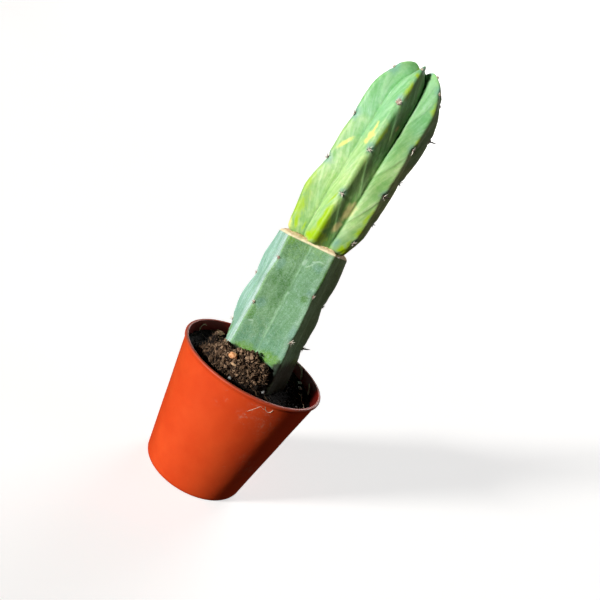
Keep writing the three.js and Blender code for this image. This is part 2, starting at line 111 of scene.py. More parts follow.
# Scion
SCION_OFFSET = 1.7
SCION_TURN = 4
SCION_RIBS = np.array([-68, -8, 51, 110, 172, 232])
SCION_VALLEYS = np.array([-44, 23, 81, 141, 202, 262])
SCION_VALLEY_RADII = np.array([11.8, 12.2, 10.4, 10.6, 10.8, 11])
SCION_RADIUS = 17.9
SCION_HEIGHT = 89.5
CROWN_START = 60
CROWN_POWER = 2.5
DIMPLE = 4.5
DIMPLE_SPAN = 0.4
SCION_BASE_SLOPE = (0.118, -0.039)
SCION_BASE_TILT_END = 16
WAIST_SHARE = 0.17
WAIST_REACH = 5
CREST_BEND = 2.1  # radius of a rib's rounded edge
CROWN_BEND_SHARE = 0.12  # its largest share of the crest's radius, which counts at the crown
FLANK_BULGE = 0.55
HOLLOW_FLANK = (1, 1)  # the rib and the valley of the flank that sinks in below the middle of the stem
HOLLOW_DEPTH = 1.3
HOLLOW_TOP = 45
HOLLOW_FADE = 8
VALLEY_FILL = 1.5  # the same flank's valley is filled to the same height
FOLD_FALL = 2.1  # how steeply a fold falls from an areole to the valleys
FOLD_RISE = 0.28
BASE_DROP = 1.6  # how far the foot hangs over the cut at the front
BASE_DROP_AZIMUTH = 5
BASE_DROP_SPREAD = 78
BASE_DROP_REACH = 8
SCION_AREOLES = [
    [35.8, 57.1, 82],
    [25.3, 46.3, 68.6, 85.5],
    [9.4, 33.7, 56, 81.3, 87.5],
    [21.5, 43, 65.4, 80],
    [12, 34, 56, 76, 86],
    [20, 42, 64, 82],
]
SCION_SWELLS = [
    [(21, 8, 1.8)],
    [],
    [(1, 5, -0.9)],
    [(62, 15, 1.7), (3, 9, -2.6)],
    [(45, 9, 0.7)],
    [(30, 9, 0.8)],
]
NOTCH_DEPTH = 0.8
NOTCH_HALF_WIDTH = 5

# Soil
SOIL_LEVEL = -5
# rise, middle, spread and the power that flattens a heap across x
SOIL_HEAPS = [
    (12.3, (-5, -15), (13.5, 11), 4),
    (2.5, (-20, -8), (7.5, 6.5), 2),
    (-4, (23, -3), (9, 15), 2),
]

rim_plane = Matrix.Translation((*PLANT_FOOT, POT_HEIGHT))
plant_frame = (
    rim_plane
    @ Matrix.Rotation(math.radians(-PLANT_LEAN_BACK), 4, "X")
    @ Matrix.Rotation(math.radians(-PLANT_LEAN_LEFT), 4, "Y")
)
scion_frame = (
    plant_frame
    @ Matrix.Translation((SCION_OFFSET, 0, STOCK_CUT + CUT_SLOPE[0] * SCION_OFFSET))
    @ Matrix.Rotation(math.radians(SCION_TURN), 4, "Y")
)


def new_object(name, data):
    """An object in the scene."""
    thing = bpy.data.objects.new(name, data)
    bpy.context.scene.collection.objects.link(thing)
    return thing


def make_camera():
    elevation, roll = math.radians(EYE_ELEVATION), math.radians(ROLL)
    eye = EYE_DISTANCE * MM * Vector((0, -math.cos(elevation), math.sin(elevation)))
    ahead, right = -eye.normalized(), Vector((1, 0, 0))
    up = right.cross(ahead)
    aside, above = math.tan(math.radians(AIM_RIGHT)), math.tan(math.radians(AIM_UP))
    ahead = (ahead + aside * right + above * up).normalized()
    right = ahead.cross(up).normalized()
    up = right.cross(ahead)
    right, up = (
        math.cos(roll) * right + math.sin(roll) * up,
        math.cos(roll) * up - math.sin(roll) * right,
    )
    camera = new_object("camera", bpy.data.cameras.new("camera"))
    camera.data.sensor_width = SENSOR_MM
    camera.data.lens = SENSOR_MM * FOCAL_PIXELS / PICTURE_PIXELS
    turn = Matrix((right, up, -ahead)).transposed().to_4x4()
    camera.matrix_world = Matrix.Translation(eye + Vector((0, 0, POT_HEIGHT * MM))) @ turn
    bpy.context.scene.camera = camera


# Shapes


def bell(distance, reach, power=2):
    return np.exp(-(np.abs(distance / reach) ** power))


def direction(azimuth):
    return np.sin(np.radians(azimuth)), -np.cos(np.radians(azimuth))


def on_ring(azimuth, radius, height=0):
    """Points at an azimuth, a radius and a height."""
    dx, dy = direction(azimuth)
    return np.c_[dx * radius, dy * radius, height + 0 * dx]


def around(azimuth):
    """An azimuth from -180 to 180."""
    return (azimuth + 180) % 360 - 180


def turbulence(points, per_mm, octaves=2, shift=0):
    """Smooth noise from about -1 to 1 at each point, with so many bumps per millimetre."""
    offset = Vector((shift, 2 * shift, 3 * shift))
    return np.array([noise.fractal(Vector(p) * per_mm + offset, 1, 2, octaves) for p in points])


CREST_CROWDING = 1.4  # above 1, a skin's columns crowd towards the crests


def rib_at(ribs, valleys, turn):
    """The nearest rib and the valley beside it, the side, from 0 on the crest to 1 in the valley, the
    azimuth, and the angle between that crest and that valley."""
    count = len(ribs)
    step = (turn * count) % count
    before = np.floor(step).astype(int) % count
    share = step - np.floor(step)
    rib = np.where(share < 0.5, before, (before + 1) % count)
    side = (2 * np.minimum(share, 1 - share)) ** CREST_CROWDING
    to_valley = around(valleys[before] - ribs[rib])
    return rib, before, side, ribs[rib] + to_valley * side, np.abs(to_valley)


def crest_offset(rib, height, swells, areoles):
    """How far a crest swells off its plain line, and how deep it dips at its areoles."""
    offset, dips = np.zeros(len(height)), np.zeros(len(height))
    for number, dents in enumerate(areoles):
        on = rib == number
        for at, reach, rise in swells[number]:
            offset[on] += rise * bell(height[on] - at, reach)
        for at in dents:
            dips[on] += NOTCH_DEPTH * bell(height[on] - at, NOTCH_HALF_WIDTH)
    return offset, dips


PIT_REACH = 1.5
BROW_REACH = 1.9
BROW_HEIGHT = 2.6  # of its middle above the areole


def areole_seats(rib, height, flank, areoles, pit, brow):
    """A small pit under each areole and a soft brow above it."""
    seat = np.zeros(len(height))
    for number, dents in enumerate(areoles):
        for at in dents:
            on = rib == number
            up, off = height[on] - at, flank[on]
            rise = brow * bell(np.hypot(up - BROW_HEIGHT, 0.8 * off), BROW_REACH)
            seat[on] += rise - pit * bell(np.hypot(up, off), PIT_REACH)
    return seat


def areole_folds(rib, height, flank, areoles):
    """1 on a soft fold that falls from each areole to the valleys, steep below and slow above."""
    fold = np.zeros(len(height))
    for number, dents in enumerate(areoles):
        on = rib == number
        for at in dents:
            above = height[on] - at + FOLD_FALL * flank[on]
            fold[on] = np.maximum(fold[on], np.where(above > 0, bell(above, 4.5), bell(above, 0.9)))
    return fold * np.minimum(1, flank / 2.5) * bell(flank, 9, 6)


def stock_crest(rib, height):
    narrowing = (STOCK_TOP_RADIUS - STOCK_FOOT_RADIUS) / STOCK_CUT
    plain = STOCK_FOOT_RADIUS + narrowing * np.maximum(height, STOCK_FLARE_END)
    offset, dips = crest_offset(rib, height, STOCK_SWELLS, STOCK_AREOLES)
    return plain + offset - dips


def stock_lift(x, y, height):
    """How far a point moves up so that the rings come to lie along the sloping cut."""
    tilt = np.maximum(0, (height - CUT_TILT_START) / (STOCK_CUT - CUT_TILT_START))
    return (CUT_SLOPE[0] * x + CUT_SLOPE[1] * y) * tilt


def keel(side, crest, valley, half, bend):
    """The radius of a rib with straight flanks and an edge of some bend, seen along the axis. The side is
    0 on the crest and 1 in the valley, and half is the angle between them."""
    full = np.radians(half)
    x, y = valley * np.cos(full), valley * np.sin(full)
    middle = crest - bend
    reach = np.maximum(np.hypot(middle - x, y), 1e-6)
    lean = np.arctan2(y, middle - x) - np.arcsin(np.clip(bend / reach, 0, 1))
    angle = side * full
    straight = (x * np.sin(lean) + y * np.cos(lean)) / np.maximum(np.sin(angle + lean), 1e-6)
    rounded = middle * np.cos(angle) + np.sqrt(np.maximum(0, bend**2 - (middle * np.sin(angle)) ** 2))
    edge_end = np.arctan2(bend * np.cos(lean), middle + bend * np.sin(lean))
    return np.where(angle < edge_end, rounded, straight)


def stock_outline(turn, height, grow=0.0):
    """The rootstock's azimuth and radius at a turn and a height, with where that is on its ribs."""
    rib, _, side, azimuth, half = rib_at(STOCK_RIBS, STOCK_VALLEYS, turn)
    crest = stock_crest(rib, height)
    valley = STOCK_TOP_RADIUS * STOCK_VALLEY_SHARE + (STOCK_CUT - height) * STOCK_VALLEY_FLARE
    radius = keel(side, crest - CREST_ROUNDING, valley, half, STOCK_CREST_BEND) + grow
    return SimpleNamespace(rib=rib, azimuth=azimuth, half=half, crest=crest, valley=valley, radius=radius)


def distance_across(points, azimuth, radius):
    """How far points are from an azimuth and a radius, across the stem."""
    away = points - on_ring(azimuth, radius)
    return np.hypot(away[:, 0], away[:, 1])


def on_ribs(shape, ribs, valley_radius):
    """Adds how far each point is from its crest and from its valley, across the stem."""
    crest = ribs[shape.rib]
    sign = np.sign(around(shape.azimuth - crest) + 1e-9)
    shape.flank = distance_across(shape.points, crest, shape.crest)
    shape.off_valley = distance_across(shape.points, crest + sign * shape.half, valley_radius)


STOCK_BODY_ROWS = 172
EDGE_ROUNDING = [(-0.45, 0), (-0.15, -0.06), (0, -0.3)]  # height from the cut and change of radius


def stock_rows():
    """Heights, shares and changes of radius, row by row, from the stump's pole to the cut's pole."""
    body = np.linspace(-10, STOCK_CUT - 0.9, STOCK_BODY_ROWS)
    edge = [STOCK_CUT + h for h, _ in EDGE_ROUNDING]
    heights = [h for h, _ in STOCK_STUMP] + list(body) + edge + [STOCK_CUT]
    shares = [s for _, s in STOCK_STUMP] + [1] * (len(body) + len(EDGE_ROUNDING)) + [0]
    changes = [0] * (len(STOCK_STUMP) + len(body)) + [d for _, d in EDGE_ROUNDING] + [0]
    return np.array(heights, float), np.array(shares, float), np.array(changes, float)


def stock_shape(turn, row):
    heights, shares, changes = stock_rows()
    height = heights[row]
    shape = stock_outline(turn, height)
    shape.height = height
    flat = shape.points = on_ring(shape.azimuth, shape.radius, height)
    on_ribs(shape, STOCK_RIBS, shape.valley)
    bumps = 0.16 * turbulence(flat, 0.16) + 0.05 * turbulence(flat, 0.6, shift=9)
    bumps += 0.14 * turbulence(flat * (1, 1, 0.5), 0.3, shift=4) * bell(shape.flank, 1.6)
    bumps += areole_seats(shape.rib, height, shape.flank, STOCK_AREOLES, 0.3, 0.35)
    bumps += 0.07 * bell(shape.off_valley, 0.4) - 0.05 * bell(shape.off_valley - 1, 0.6)
    radius = (shape.radius + bumps + changes[row]) * shares[row]
    shape.points = on_ring(shape.azimuth, radius, height)
    shape.points[:, 2] += stock_lift(*shape.points.T)
    shape.radius = np.maximum(radius, 1)
    return shape


SCION_BODY_ROWS = 150
SCION_CROWN_ROWS = 62
# height above the base and share of the full radius
BASE_ROUNDING = [(0, 0.89), (0.2, 0.935), (0.6, 0.968), (1.2, 0.988)]


def scion_rows():
    """Heights of the crests and of the valleys, the height that sets the crests' radius, and the shares
    that close the valleys at the crown and round the foot."""
    base = CALLUS_HEIGHT + 2 * GAP
    low = np.array([base] + [base + up for up, _ in BASE_ROUNDING])
    side = np.linspace(base + 1.9, CROWN_START, SCION_BODY_ROWS)
    angle = np.radians(np.linspace(0, 90, SCION_CROWN_ROWS + 1)[1:])
    inward = np.cos(angle) ** (2 / CROWN_POWER)
    inward[-1] = 0
    upward = np.sin(angle) ** (2 / CROWN_POWER)
    rise = SCION_HEIGHT - CROWN_START
    top = CROWN_START + rise * upward
    crest = np.concatenate([low, side, top - DIMPLE * np.maximum(0, 1 - inward / DIMPLE_SPAN) ** 2])
    valley = np.concatenate([low, side, CROWN_START + (rise - DIMPLE) * upward])
    edge = np.concatenate([low, side, top])
    rounding = [share for _, share in BASE_ROUNDING]
    body = np.concatenate([[0], rounding, np.ones(SCION_BODY_ROWS + SCION_CROWN_ROWS)])
    inward = np.concatenate([[0], np.ones(len(BASE_ROUNDING) + SCION_BODY_ROWS), inward])
    return crest, valley, edge, inward, body


def waist(height):
    return 1 - WAIST_SHARE * np.exp(-height / WAIST_REACH)


def crown_share(height):
    rise = np.clip((height - CROWN_START) / (SCION_HEIGHT - CROWN_START), 0, 1)
    return (1 - rise**CROWN_POWER) ** (1 / CROWN_POWER)


def scion_crest(rib, height):
    share = crown_share(height)
    offset, dips = crest_offset(rib, height, SCION_SWELLS, SCION_AREOLES)
    return (SCION_RADIUS + offset) * waist(height) * share - dips * np.minimum(1, 3 * share)


def scion_lift(x, y, height):
    slope = SCION_BASE_SLOPE[0] * x + SCION_BASE_SLOPE[1] * y
    return slope * np.maximum(0, 1 - height / SCION_BASE_TILT_END)


def scion_shape(turn, row):
    crest_rows, valley_rows, edge_rows, inward_rows, body_rows = scion_rows()
    rib, valley, side, azimuth, half = rib_at(SCION_RIBS, SCION_VALLEYS, turn)
    inward, body = inward_rows[row], body_rows[row]
    crest = scion_crest(rib, edge_rows[row]) * (inward > 0)
    below = 1 / (1 + np.exp((valley_rows[row] - HOLLOW_TOP) / HOLLOW_FADE))
    fill = VALLEY_FILL * below * (valley == HOLLOW_FLANK[1])
    floor = (SCION_VALLEY_RADII[valley] * waist(valley_rows[row]) + fill) * inward
    radius = keel(side, crest, floor, half, np.minimum(CREST_BEND, CROWN_BEND_SHARE * crest))
    share = np.clip((radius - floor) / np.maximum(crest - floor, 1e-6), 0, 1)
    hollow = below * (rib == HOLLOW_FLANK[0]) * (valley == HOLLOW_FLANK[1])
    radius = radius + (FLANK_BULGE - HOLLOW_DEPTH * hollow) * np.sin(np.pi * side) * inward
    height = valley_rows[row] + (crest_rows[row] - valley_rows[row]) * share
    shape = SimpleNamespace(rib=rib, azimuth=azimuth, half=half, crest=crest, height=height)
    shape.points = on_ring(azimuth, radius, height)
    on_ribs(shape, SCION_RIBS, floor)
    bumps = 0.2 * turbulence(shape.points, 0.1) + 0.06 * turbulence(shape.points, 0.5, shift=5)
    bumps += areole_seats(rib, height, shape.flank, SCION_AREOLES, 0.35, 0.45)
    shape.fold = areole_folds(rib, height, shape.flank, SCION_AREOLES)
    bumps += FOLD_RISE * shape.fold - 0.25 * bell(shape.off_valley, 0.6)
    radius = (radius + bumps * inward**0.5) * body
    foot = np.maximum(0, 1 - (height - crest_rows[0]) / BASE_DROP_REACH) * (body > 0)
    drop = BASE_DROP * bell(around(azimuth - BASE_DROP_AZIMUTH), BASE_DROP_SPREAD) * foot
    shape.points = on_ring(azimuth, radius, height)
    shape.points[:, 2] += scion_lift(*shape.points.T)
    shape.points[:, 2] -= drop
    shape.radius = np.maximum(radius, 1)
    return shape


SPOT_PATCH = 1.6  # reach of the skin that tells which way a mark lies


def spots(shape, marks, fray=0.3, power=3):
    """1 inside any mark, fading to 0 past its frayed edge, the more sharply the higher the power. A mark
    has the azimuth and height of its middle, its reach across and along the stem, and how far its long
    axis leans to the right."""
    strength = np.zeros(len(shape.points))
    wobble = 1 + fray * turbulence(shape.points, 0.45, 3, shift=17)
    for azimuth, height, across, along, lean in marks:
        turn, tilt = math.radians(azimuth), math.radians(lean)
        aside = np.radians(around(shape.azimuth - azimuth)) * shape.radius
        middle = shape.points[np.argmin(aside**2 + (shape.height - height) ** 2)]
        away = shape.points - middle
        near = away[(away**2).sum(1) < SPOT_PATCH**2]
        outward = np.linalg.svd(near - near.mean(0))[2][2]
        sideways = np.array([-outward[1], outward[0], 0]) / np.hypot(outward[0], outward[1])
        sideways *= np.sign(sideways[0] * math.cos(turn) + sideways[1] * math.sin(turn))
        axis = sideways * math.sin(tilt) + np.array([0, 0, math.cos(tilt)])
        lengthwise = away @ axis
        crosswise = np.sqrt(np.maximum(0, (away**2).sum(1) - lengthwise**2))
        far = np.hypot(lengthwise / along, crosswise / across) * wobble
        strength = np.maximum(strength, bell(far, 1, power))
    return strength


def spun(profile, slices, merge):
    """What a line of radii and heights sweeps around Z."""
    bm = bmesh.new()
    line = [bm.verts.new((radius, 0, height)) for radius, height in profile]
    edges = [bm.edges.new(pair) for pair in zip(line, line[1:])]
    way = {"cent": (0, 0, 0), "axis": (0, 0, 1), "angle": math.tau, "steps": slices, "use_merge": True}
    bmesh.ops.spin(bm, geom=line + edges, **way)
    bmesh.ops.remove_doubles(bm, verts=bm.verts, dist=merge)
    return bm


def turned(rows, slices, shape_of):
    """A closed skin, moved to its shape, and that shape, vertex by vertex. The first and last rows are
    poles, and the heights are row numbers until the skin is moved."""
    bm = spun([(0 if row in (0, rows - 1) else 1, row) for row in range(rows)], slices, 1e-4)
    flat = np.array([v.co for v in bm.verts])
    turn = (np.arctan2(flat[:, 0], -flat[:, 1]) / math.tau) % 1
    shape = shape_of(turn, np.rint(flat[:, 2]).astype(int))
    for v, point in zip(bm.verts, shape.points):
        v.co = point
    bmesh.ops.recalc_face_normals(bm, faces=bm.faces)
    return bm, shape


def mesh_of(name, bm):
    mesh = bpy.data.meshes.new(name)
    bm.to_mesh(mesh)
    bm.free()
    return mesh


def finished(name, bm, material, node=None, place=None, smooth=True, marks=None):
    """Puts a shape in millimetres into the scene, as a piece that rides on the root."""
    bm.transform(Matrix.Scale(MM, 4) @ (place or Matrix.Identity(4)))
    mesh = mesh_of(name, bm)
    for mark, values in (marks or {}).items():
        layer = mesh.attributes.new(mark, "FLOAT", "POINT")
        layer.data.foreach_set("value", np.asarray(values, np.float32))
    mesh.polygons.foreach_set("use_smooth", [smooth] * len(mesh.polygons))
    mesh.materials.append(material)
    piece = new_object(name, mesh)
    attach(piece, "root")
    if node:
        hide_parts(node)
    return piece


# Materials


class Finish:
    """A material whose shader's sockets are set, with short ways to add the nodes that colour it."""

    def __init__(self, name, **sockets):
        self.material = bpy.data.materials.new(name)
        self.material.use_nodes = True
        self.tree = self.material.node_tree
        self.shader = self.tree.nodes["Principled BSDF"]
        for socket, value in sockets.items():
            self.shader.inputs[socket.replace("_", " ")].default_value = value

    def node(self, kind, *values, **settings):
        """Adds a node. A value is an output to link, a number or a vector, or None to leave a socket."""
        node = self.tree.nodes.new("ShaderNode" + kind)
        for key, value in settings.items():
            setattr(node, key, value)
        for socket, value in zip(node.inputs, values):
            if isinstance(value, bpy.types.NodeSocket):
                self.tree.links.new(value, socket)
            elif value is not None:
                socket.default_value = value
        return node

    def math(self, operation, *values):
        return self.node("Math", *values, operation=operation).outputs[0]

    def times(self, first, second):
        return self.math("MULTIPLY", first, second)

    def swayed(self, value, grain, amount):
        """A value plus an amount of a grain."""
        return self.math("MULTIPLY_ADD", grain, amount, value)

    def mark(self, name):
        return self.node("Attribute", attribute_name=name).outputs["Fac"]

    def place(self, scale=(1, 1, 1)):
        """Object coordinates in millimetres, stretched by a scale."""
        coordinates = self.node("TexCoord").outputs["Object"]
        return self.node("Mapping", coordinates, None, None, tuple(s / MM for s in scale)).outputs[0]

    def grain(self, where, per_mm, detail=3.0, roughness=0.55, distortion=0.0):
        node = self.node("TexNoise")
        self.tree.links.new(where, node.inputs["Vector"])
        settings = {"Scale": per_mm, "Detail": detail, "Roughness": roughness, "Distortion": distortion}
        for socket, value in settings.items():
            node.inputs[socket].default_value = value
        return node.outputs["Fac"]

    def spread(self, value, low, high, to_low=0.0, to_high=1.0):
        """A value from low to high, spread smoothly from to_low to to_high."""
        ends = (low, high, to_low, to_high)
        return self.node("MapRange", value, *ends, interpolation_type="SMOOTHSTEP").outputs[0]

    def patch(self, name, grain, fray=0.5, edge=0.12, most=1.0):
        """A mark with an edge that is frayed by a grain and fairly sharp."""
        frayed = self.swayed(self.math("SUBTRACT", self.mark(name), fray / 2), grain, fray)
        return self.spread(frayed, 0.5 - edge, 0.5 + edge, 0.0, most)

    def threads(self, grain, width, most):
        """Thin winding lines, where a grain passes its middle value."""
        off = self.math("ABSOLUTE", self.math("SUBTRACT", grain, 0.5))
        return self.spread(off, 0.0, width, most, 0.0)

    def mix(self, share, first, second, blend="MIX"):
        node = self.node("Mix", data_type="RGBA", blend_type=blend)
        for k, value in ((0, share), (6, first), (7, second)):
            socket = node.inputs[k]
            if isinstance(value, bpy.types.NodeSocket):
                self.tree.links.new(value, socket)
            else:
                socket.default_value = value if isinstance(value, float) else (*value, 1)
        return node.outputs[2]

    def tinted(self, colour, share, dark, light):
        """A colour multiplied by a tint between a dark and a light one."""
        return self.mix(1.0, colour, self.mix(share, dark, light), "MULTIPLY")

    def ramp(self, value, *stops):
        node = self.node("ValToRGB", value)
        elements = node.color_ramp.elements
        while len(elements) < len(stops):
            elements.new(0.5)
        for element, (at, colour) in zip(elements, stops):
            element.position = at
            element.color = (*colour, 1)
        return node.outputs[0]

    def bump(self, height, depth_mm, below=None):
        node = self.node("Bump")
        node.inputs["Distance"].default_value = depth_mm * MM
        self.tree.links.new(height, node.inputs["Height"])
        if below:
            self.tree.links.new(below, node.inputs["Normal"])
        return node.outputs[0]

    def done(self, colour, roughness=None, normal=None):
        for socket, output in (("Base Color", colour), ("Roughness", roughness), ("Normal", normal)):
            if output is not None:
                self.tree.links.new(output, self.shader.inputs[socket])
        return self.material


STREAK_DRIFT = 0.08  # how fast the streaks change with the place on the stem, per millimetre


def along_ribs(finish, across, curve, upward):
    """Coordinates for streaks that rise from a valley and curve outwards to the crest."""
    flank, height = finish.mark("flank"), finish.mark("height")
    bend = finish.times(finish.times(flank, flank), curve)
    sideways = finish.math("ADD", finish.times(flank, across), bend)
    sideways = finish.math("ADD", sideways, finish.times(height, upward))
    here = finish.node("SeparateXYZ", finish.place([STREAK_DRIFT] * 3)).outputs
    return finish.node("CombineXYZ", sideways, here[2], here[0]).outputs[0]


def scion_finish():
    f = Finish("scion_skin_wax", Specular_IOR_Level=0.4, Subsurface_Weight=0.08, Subsurface_Scale=0.002)
    f.shader.inputs["Subsurface Radius"].default_value = (0.6, 1.0, 0.3)
    here = f.place()
    mottle = f.grain(here, 0.55, 4, 0.6)
    cloudy = f.math("ADD", f.mark("height"), f.spread(f.grain(here, 0.08, 3), 0.3, 0.7, -12.0, 12.0))
    colour = f.ramp(
        f.math("DIVIDE", cloudy, float(SCION_HEIGHT)),
        (0.06, (0.31, 0.52, 0.19)),
        (0.24, (0.5, 0.69, 0.28)),
        (0.5, (0.44, 0.65, 0.3)),
        (0.7, (0.31, 0.6, 0.32)),
        (0.92, (0.28, 0.59, 0.27)),
    )
    broad = f.grain(along_ribs(f, 0.22, 0.03, 0.13), 1, 4, 0.6)
    fine = f.grain(along_ribs(f, 0.4, 0.05, 0.34), 1, 4, 0.65)
    colour = f.tinted(colour, f.spread(broad, 0.35, 0.65), (0.8, 0.91, 0.77), (1.1, 1.05, 1.13))
    colour = f.tinted(colour, f.spread(fine, 0.36, 0.64), (0.82, 0.92, 0.79), (1.1, 1.05, 1.13))
    colour = f.tinted(colour, f.spread(mottle, 0.35, 0.65), (0.86, 0.95, 0.88), (1.1, 1.05, 1.14))
    # each rib's own green, darkened further by painted shade on the hollow flank and beside its valley
    colour = f.tinted(colour, f.mark("ripeness_and_painted_shade"), (0.49, 0.68, 0.43), (1.0, 1.0, 1.0))
    colour = f.mix(f.times(f.mark("fold"), 0.25), colour, (0.5, 0.76, 0.42))
    rim = f.times(f.mark("rim"), f.spread(fine, 0.4, 0.6, 0.2, 0.7))
    colour = f.mix(rim, colour, (0.42, 0.62, 0.14))
    lime = f.swayed(f.swayed(f.mark("lime"), mottle, 0.3), f.spread(fine, 0.35, 0.65), 0.25)
    colour = f.mix(f.spread(lime, 0.35, 0.85), colour, (0.4, 0.61, 0.07))
    colour = f.mix(f.spread(lime, 0.68, 1.05), colour, (0.35, 0.58, 0.004))
    colour = f.mix(f.patch("wax", mottle, 0.5, 0.45, 0.7), colour, (0.2, 0.43, 0.35))
    colour = f.mix(f.patch("yellow", mottle, 0.7, 0.36), colour, (0.77, 0.83, 0.25))
    colour = f.mix(f.patch("tan", fine, 0.5, 0.5, 0.85), colour, (0.74, 0.64, 0.27))
    # painted shade: a dark green line down each valley, fading up the stem
    colour = f.mix(f.mark("valley_line_and_shade"), colour, (0.07, 0.24, 0.04))
    speckle = f.grain(here, 2.4, 2)
    relief = f.bump(speckle, 0.04, f.bump(fine, 0.04, f.bump(broad, 0.12)))
    return f.done(colour, f.spread(mottle, 0.3, 0.7, 0.42, 0.6), relief)


def stock_finish():
    sockets = {"Specular_IOR_Level": 0.35, "Subsurface_Weight": 0.05, "Subsurface_Scale": 0.0015}
    f = Finish("rootstock_skin_wax", **sockets)
    f.shader.inputs["Subsurface Radius"].default_value = (0.5, 1.0, 0.4)
    here = f.place()
    mottle = f.grain(here, 0.5, 5, 0.65)
    cloudy = f.spread(f.grain(here, 0.12, 4, 0.6), 0.38, 0.62)
    colour = f.mix(cloudy, (0.11, 0.265, 0.09), (0.185, 0.365, 0.17))
    # painted highlight: the front face right of the middle valley is lighter
    colour = f.mix(f.mark("painted_light_face"), colour, (0.185, 0.385, 0.2))
    low = f.math("ADD", f.mark("height"), f.spread(mottle, 0.3, 0.7, -9.0, 9.0))
    colour = f.mix(f.spread(low, 6.0, 26.0, 0.7, 0.0), colour, (0.14, 0.35, 0.24))
    colour = f.mix(f.spread(low, 48.0, 64.0, 0.0, 0.6), colour, (0.19, 0.38, 0.08))
    brushed = f.grain(along_ribs(f, 0.9, 0.0, 0.12), 1, 4, 0.6)
    colour = f.tinted(colour, f.spread(brushed, 0.34, 0.66), (0.8, 0.88, 0.78), (1.17, 1.1, 1.2))
    colour = f.tinted(colour, f.spread(mottle, 0.34, 0.66), (0.86, 0.92, 0.8), (1.14, 1.08, 1.2))
    bloom = f.spread(f.swayed(f.mark("bloom"), mottle, 0.5), 0.5, 0.85)
    colour = f.mix(bloom, colour, (0.25, 0.5, 0.38))
    streaks = f.grain(along_ribs(f, 0.42, 0.02, 0.09), 1, 5, 0.7)
    colour = f.mix(f.times(bloom, f.spread(streaks, 0.44, 0.6, 0.0, 0.9)), colour, (0.53, 0.79, 0.72))
    brow = f.times(f.mark("brow"), f.spread(streaks, 0.36, 0.56, 0.25, 1.0))
    colour = f.mix(brow, colour, (0.7, 0.89, 0.85))
    colour = f.mix(f.patch("wax", mottle, 0.9, 0.5, 0.4), colour, (0.13, 0.31, 0.3))
    young, old = (0.15, 0.35, 0.035), (0.085, 0.25, 0.035)
    share_of_height = f.math("DIVIDE", f.mark("height"), STOCK_CUT)
    lime = f.ramp(share_of_height, (0.16, young), (0.28, old), (0.8, old), (0.9, young))
    colour = f.mix(f.patch("lime", mottle, 0.7, 0.42, 0.95), colour, lime)
    ridge = f.times(f.mark("ridge"), f.spread(mottle, 0.35, 0.6, 0.1, 0.8))
    colour = f.mix(ridge, colour, (0.2, 0.42, 0.06))
    hatch = f.grain(f.place((1, 1, 0.6)), 1.0, 4, 0.6, 1.4)
    colour = f.mix(f.threads(hatch, 0.045, 0.5), colour, (0.42, 0.64, 0.48))
    crackle = f.grain(f.place((0.8, 0.8, 1.2)), 1.3, 4, 0.6, 1.8)
    colour = f.mix(f.threads(crackle, 0.045, 0.6), colour, (0.1, 0.24, 0.1))
    speckle = f.grain(here, 1.7, 3, 0.7)
    colour = f.tinted(colour, f.spread(speckle, 0.36, 0.6), (0.84, 0.88, 0.82), (1.12, 1.08, 1.14))
    broken = f.spread(f.grain(here, 0.25, 4, 0.6), 0.35, 0.62, 0.3, 0.85)
    # on the rootstock this is a pale line down each valley
    colour = f.mix(f.times(f.mark("valley_line_and_shade"), broken), colour, (0.36, 0.62, 0.38))
    colour = f.mix(f.patch("scuff", f.grain(here, 1.2, 4), 0.9, 0.4, 0.55), colour, (0.5, 0.72, 0.54))
    # painted shadow: near black on the rootstock's foot, where the soil heap and its clumps cast shade
    painted_shadow = f.swayed(f.mark("painted_shadow"), mottle, 0.4)
    colour = f.mix(f.spread(painted_shadow, 0.45, 1.0, 0.0, 0.93), colour, (0.012, 0.014, 0.009))
    colour = f.mix(f.mark("cut"), colour, (0.85, 0.74, 0.5))
    relief = f.bump(speckle, 0.06, f.bump(brushed, 0.12))
    return f.done(colour, f.spread(mottle, 0.3, 0.7, 0.48, 0.66), relief)


def flesh_finish():
    f = Finish("callus_flesh", Roughness=0.8, Specular_IOR_Level=0.25)
    ring = f.mark("inward")
    crumpled = f.grain(f.place((1, 1, 0.5)), 0.9, 5, 0.65, 0.6)
    colour = f.mix(f.spread(crumpled, 0.38, 0.54), (0.78, 0.46, 0.22), (0.96, 0.79, 0.5))
    wrinkles = f.grain(f.place((0.7, 0.7, 2.2)), 1.1, 3, 0.5, 1.2)
    colour = f.mix(f.threads(wrinkles, 0.045, 0.75), colour, (0.5, 0.24, 0.1))
    ragged = f.swayed(ring, crumpled, 0.3)
    colour = f.mix(f.spread(ragged, 0.33, 0.45, 0.0, 0.85), colour, (0.5, 0.22, 0.08))
    colour = f.mix(f.spread(ragged, 0.14, 0.24, 0.9, 0.0), colour, (0.96, 0.87, 0.6))
    return f.done(colour, None, f.bump(f.grain(f.place(), 3, 4), 0.12, f.bump(crumpled, 0.35)))


def felt_finish():
    f = Finish("areole_felt", Roughness=0.75, Specular_IOR_Level=0.3)
    tone = f.math("ADD", f.mark("tone"), f.spread(f.grain(f.place(), 4, 2), 0.3, 0.7, -0.08, 0.08))
    stops = (
        (0.0, (0.02, 0.014, 0.012)),
        (0.3, (0.1, 0.045, 0.03)),
        (0.5, (0.3, 0.13, 0.08)),
        (0.75, (0.52, 0.38, 0.27)),
        (1.0, (0.82, 0.76, 0.66)),
    )
    return f.done(f.ramp(tone, *stops))


def soil_finish():
    f = Finish("peat_soil", Roughness=0.95, Specular_IOR_Level=0.2)
    here = f.place()
    grit = f.grain(here, 1.6, 5, 0.7)
    tone = f.math("ADD", f.mark("tone"), f.spread(grit, 0.3, 0.7, -0.18, 0.18))
    stops = (
        (0.0, (0.003, 0.0022, 0.002)),
        (0.3, (0.02, 0.012, 0.008)),
        (0.6, (0.115, 0.066, 0.038)),
        (1.0, (0.4, 0.26, 0.165)),
    )
    return f.done(f.ramp(tone, *stops), None, f.bump(f.grain(here, 4, 3), 0.12, f.bump(grit, 0.5)))


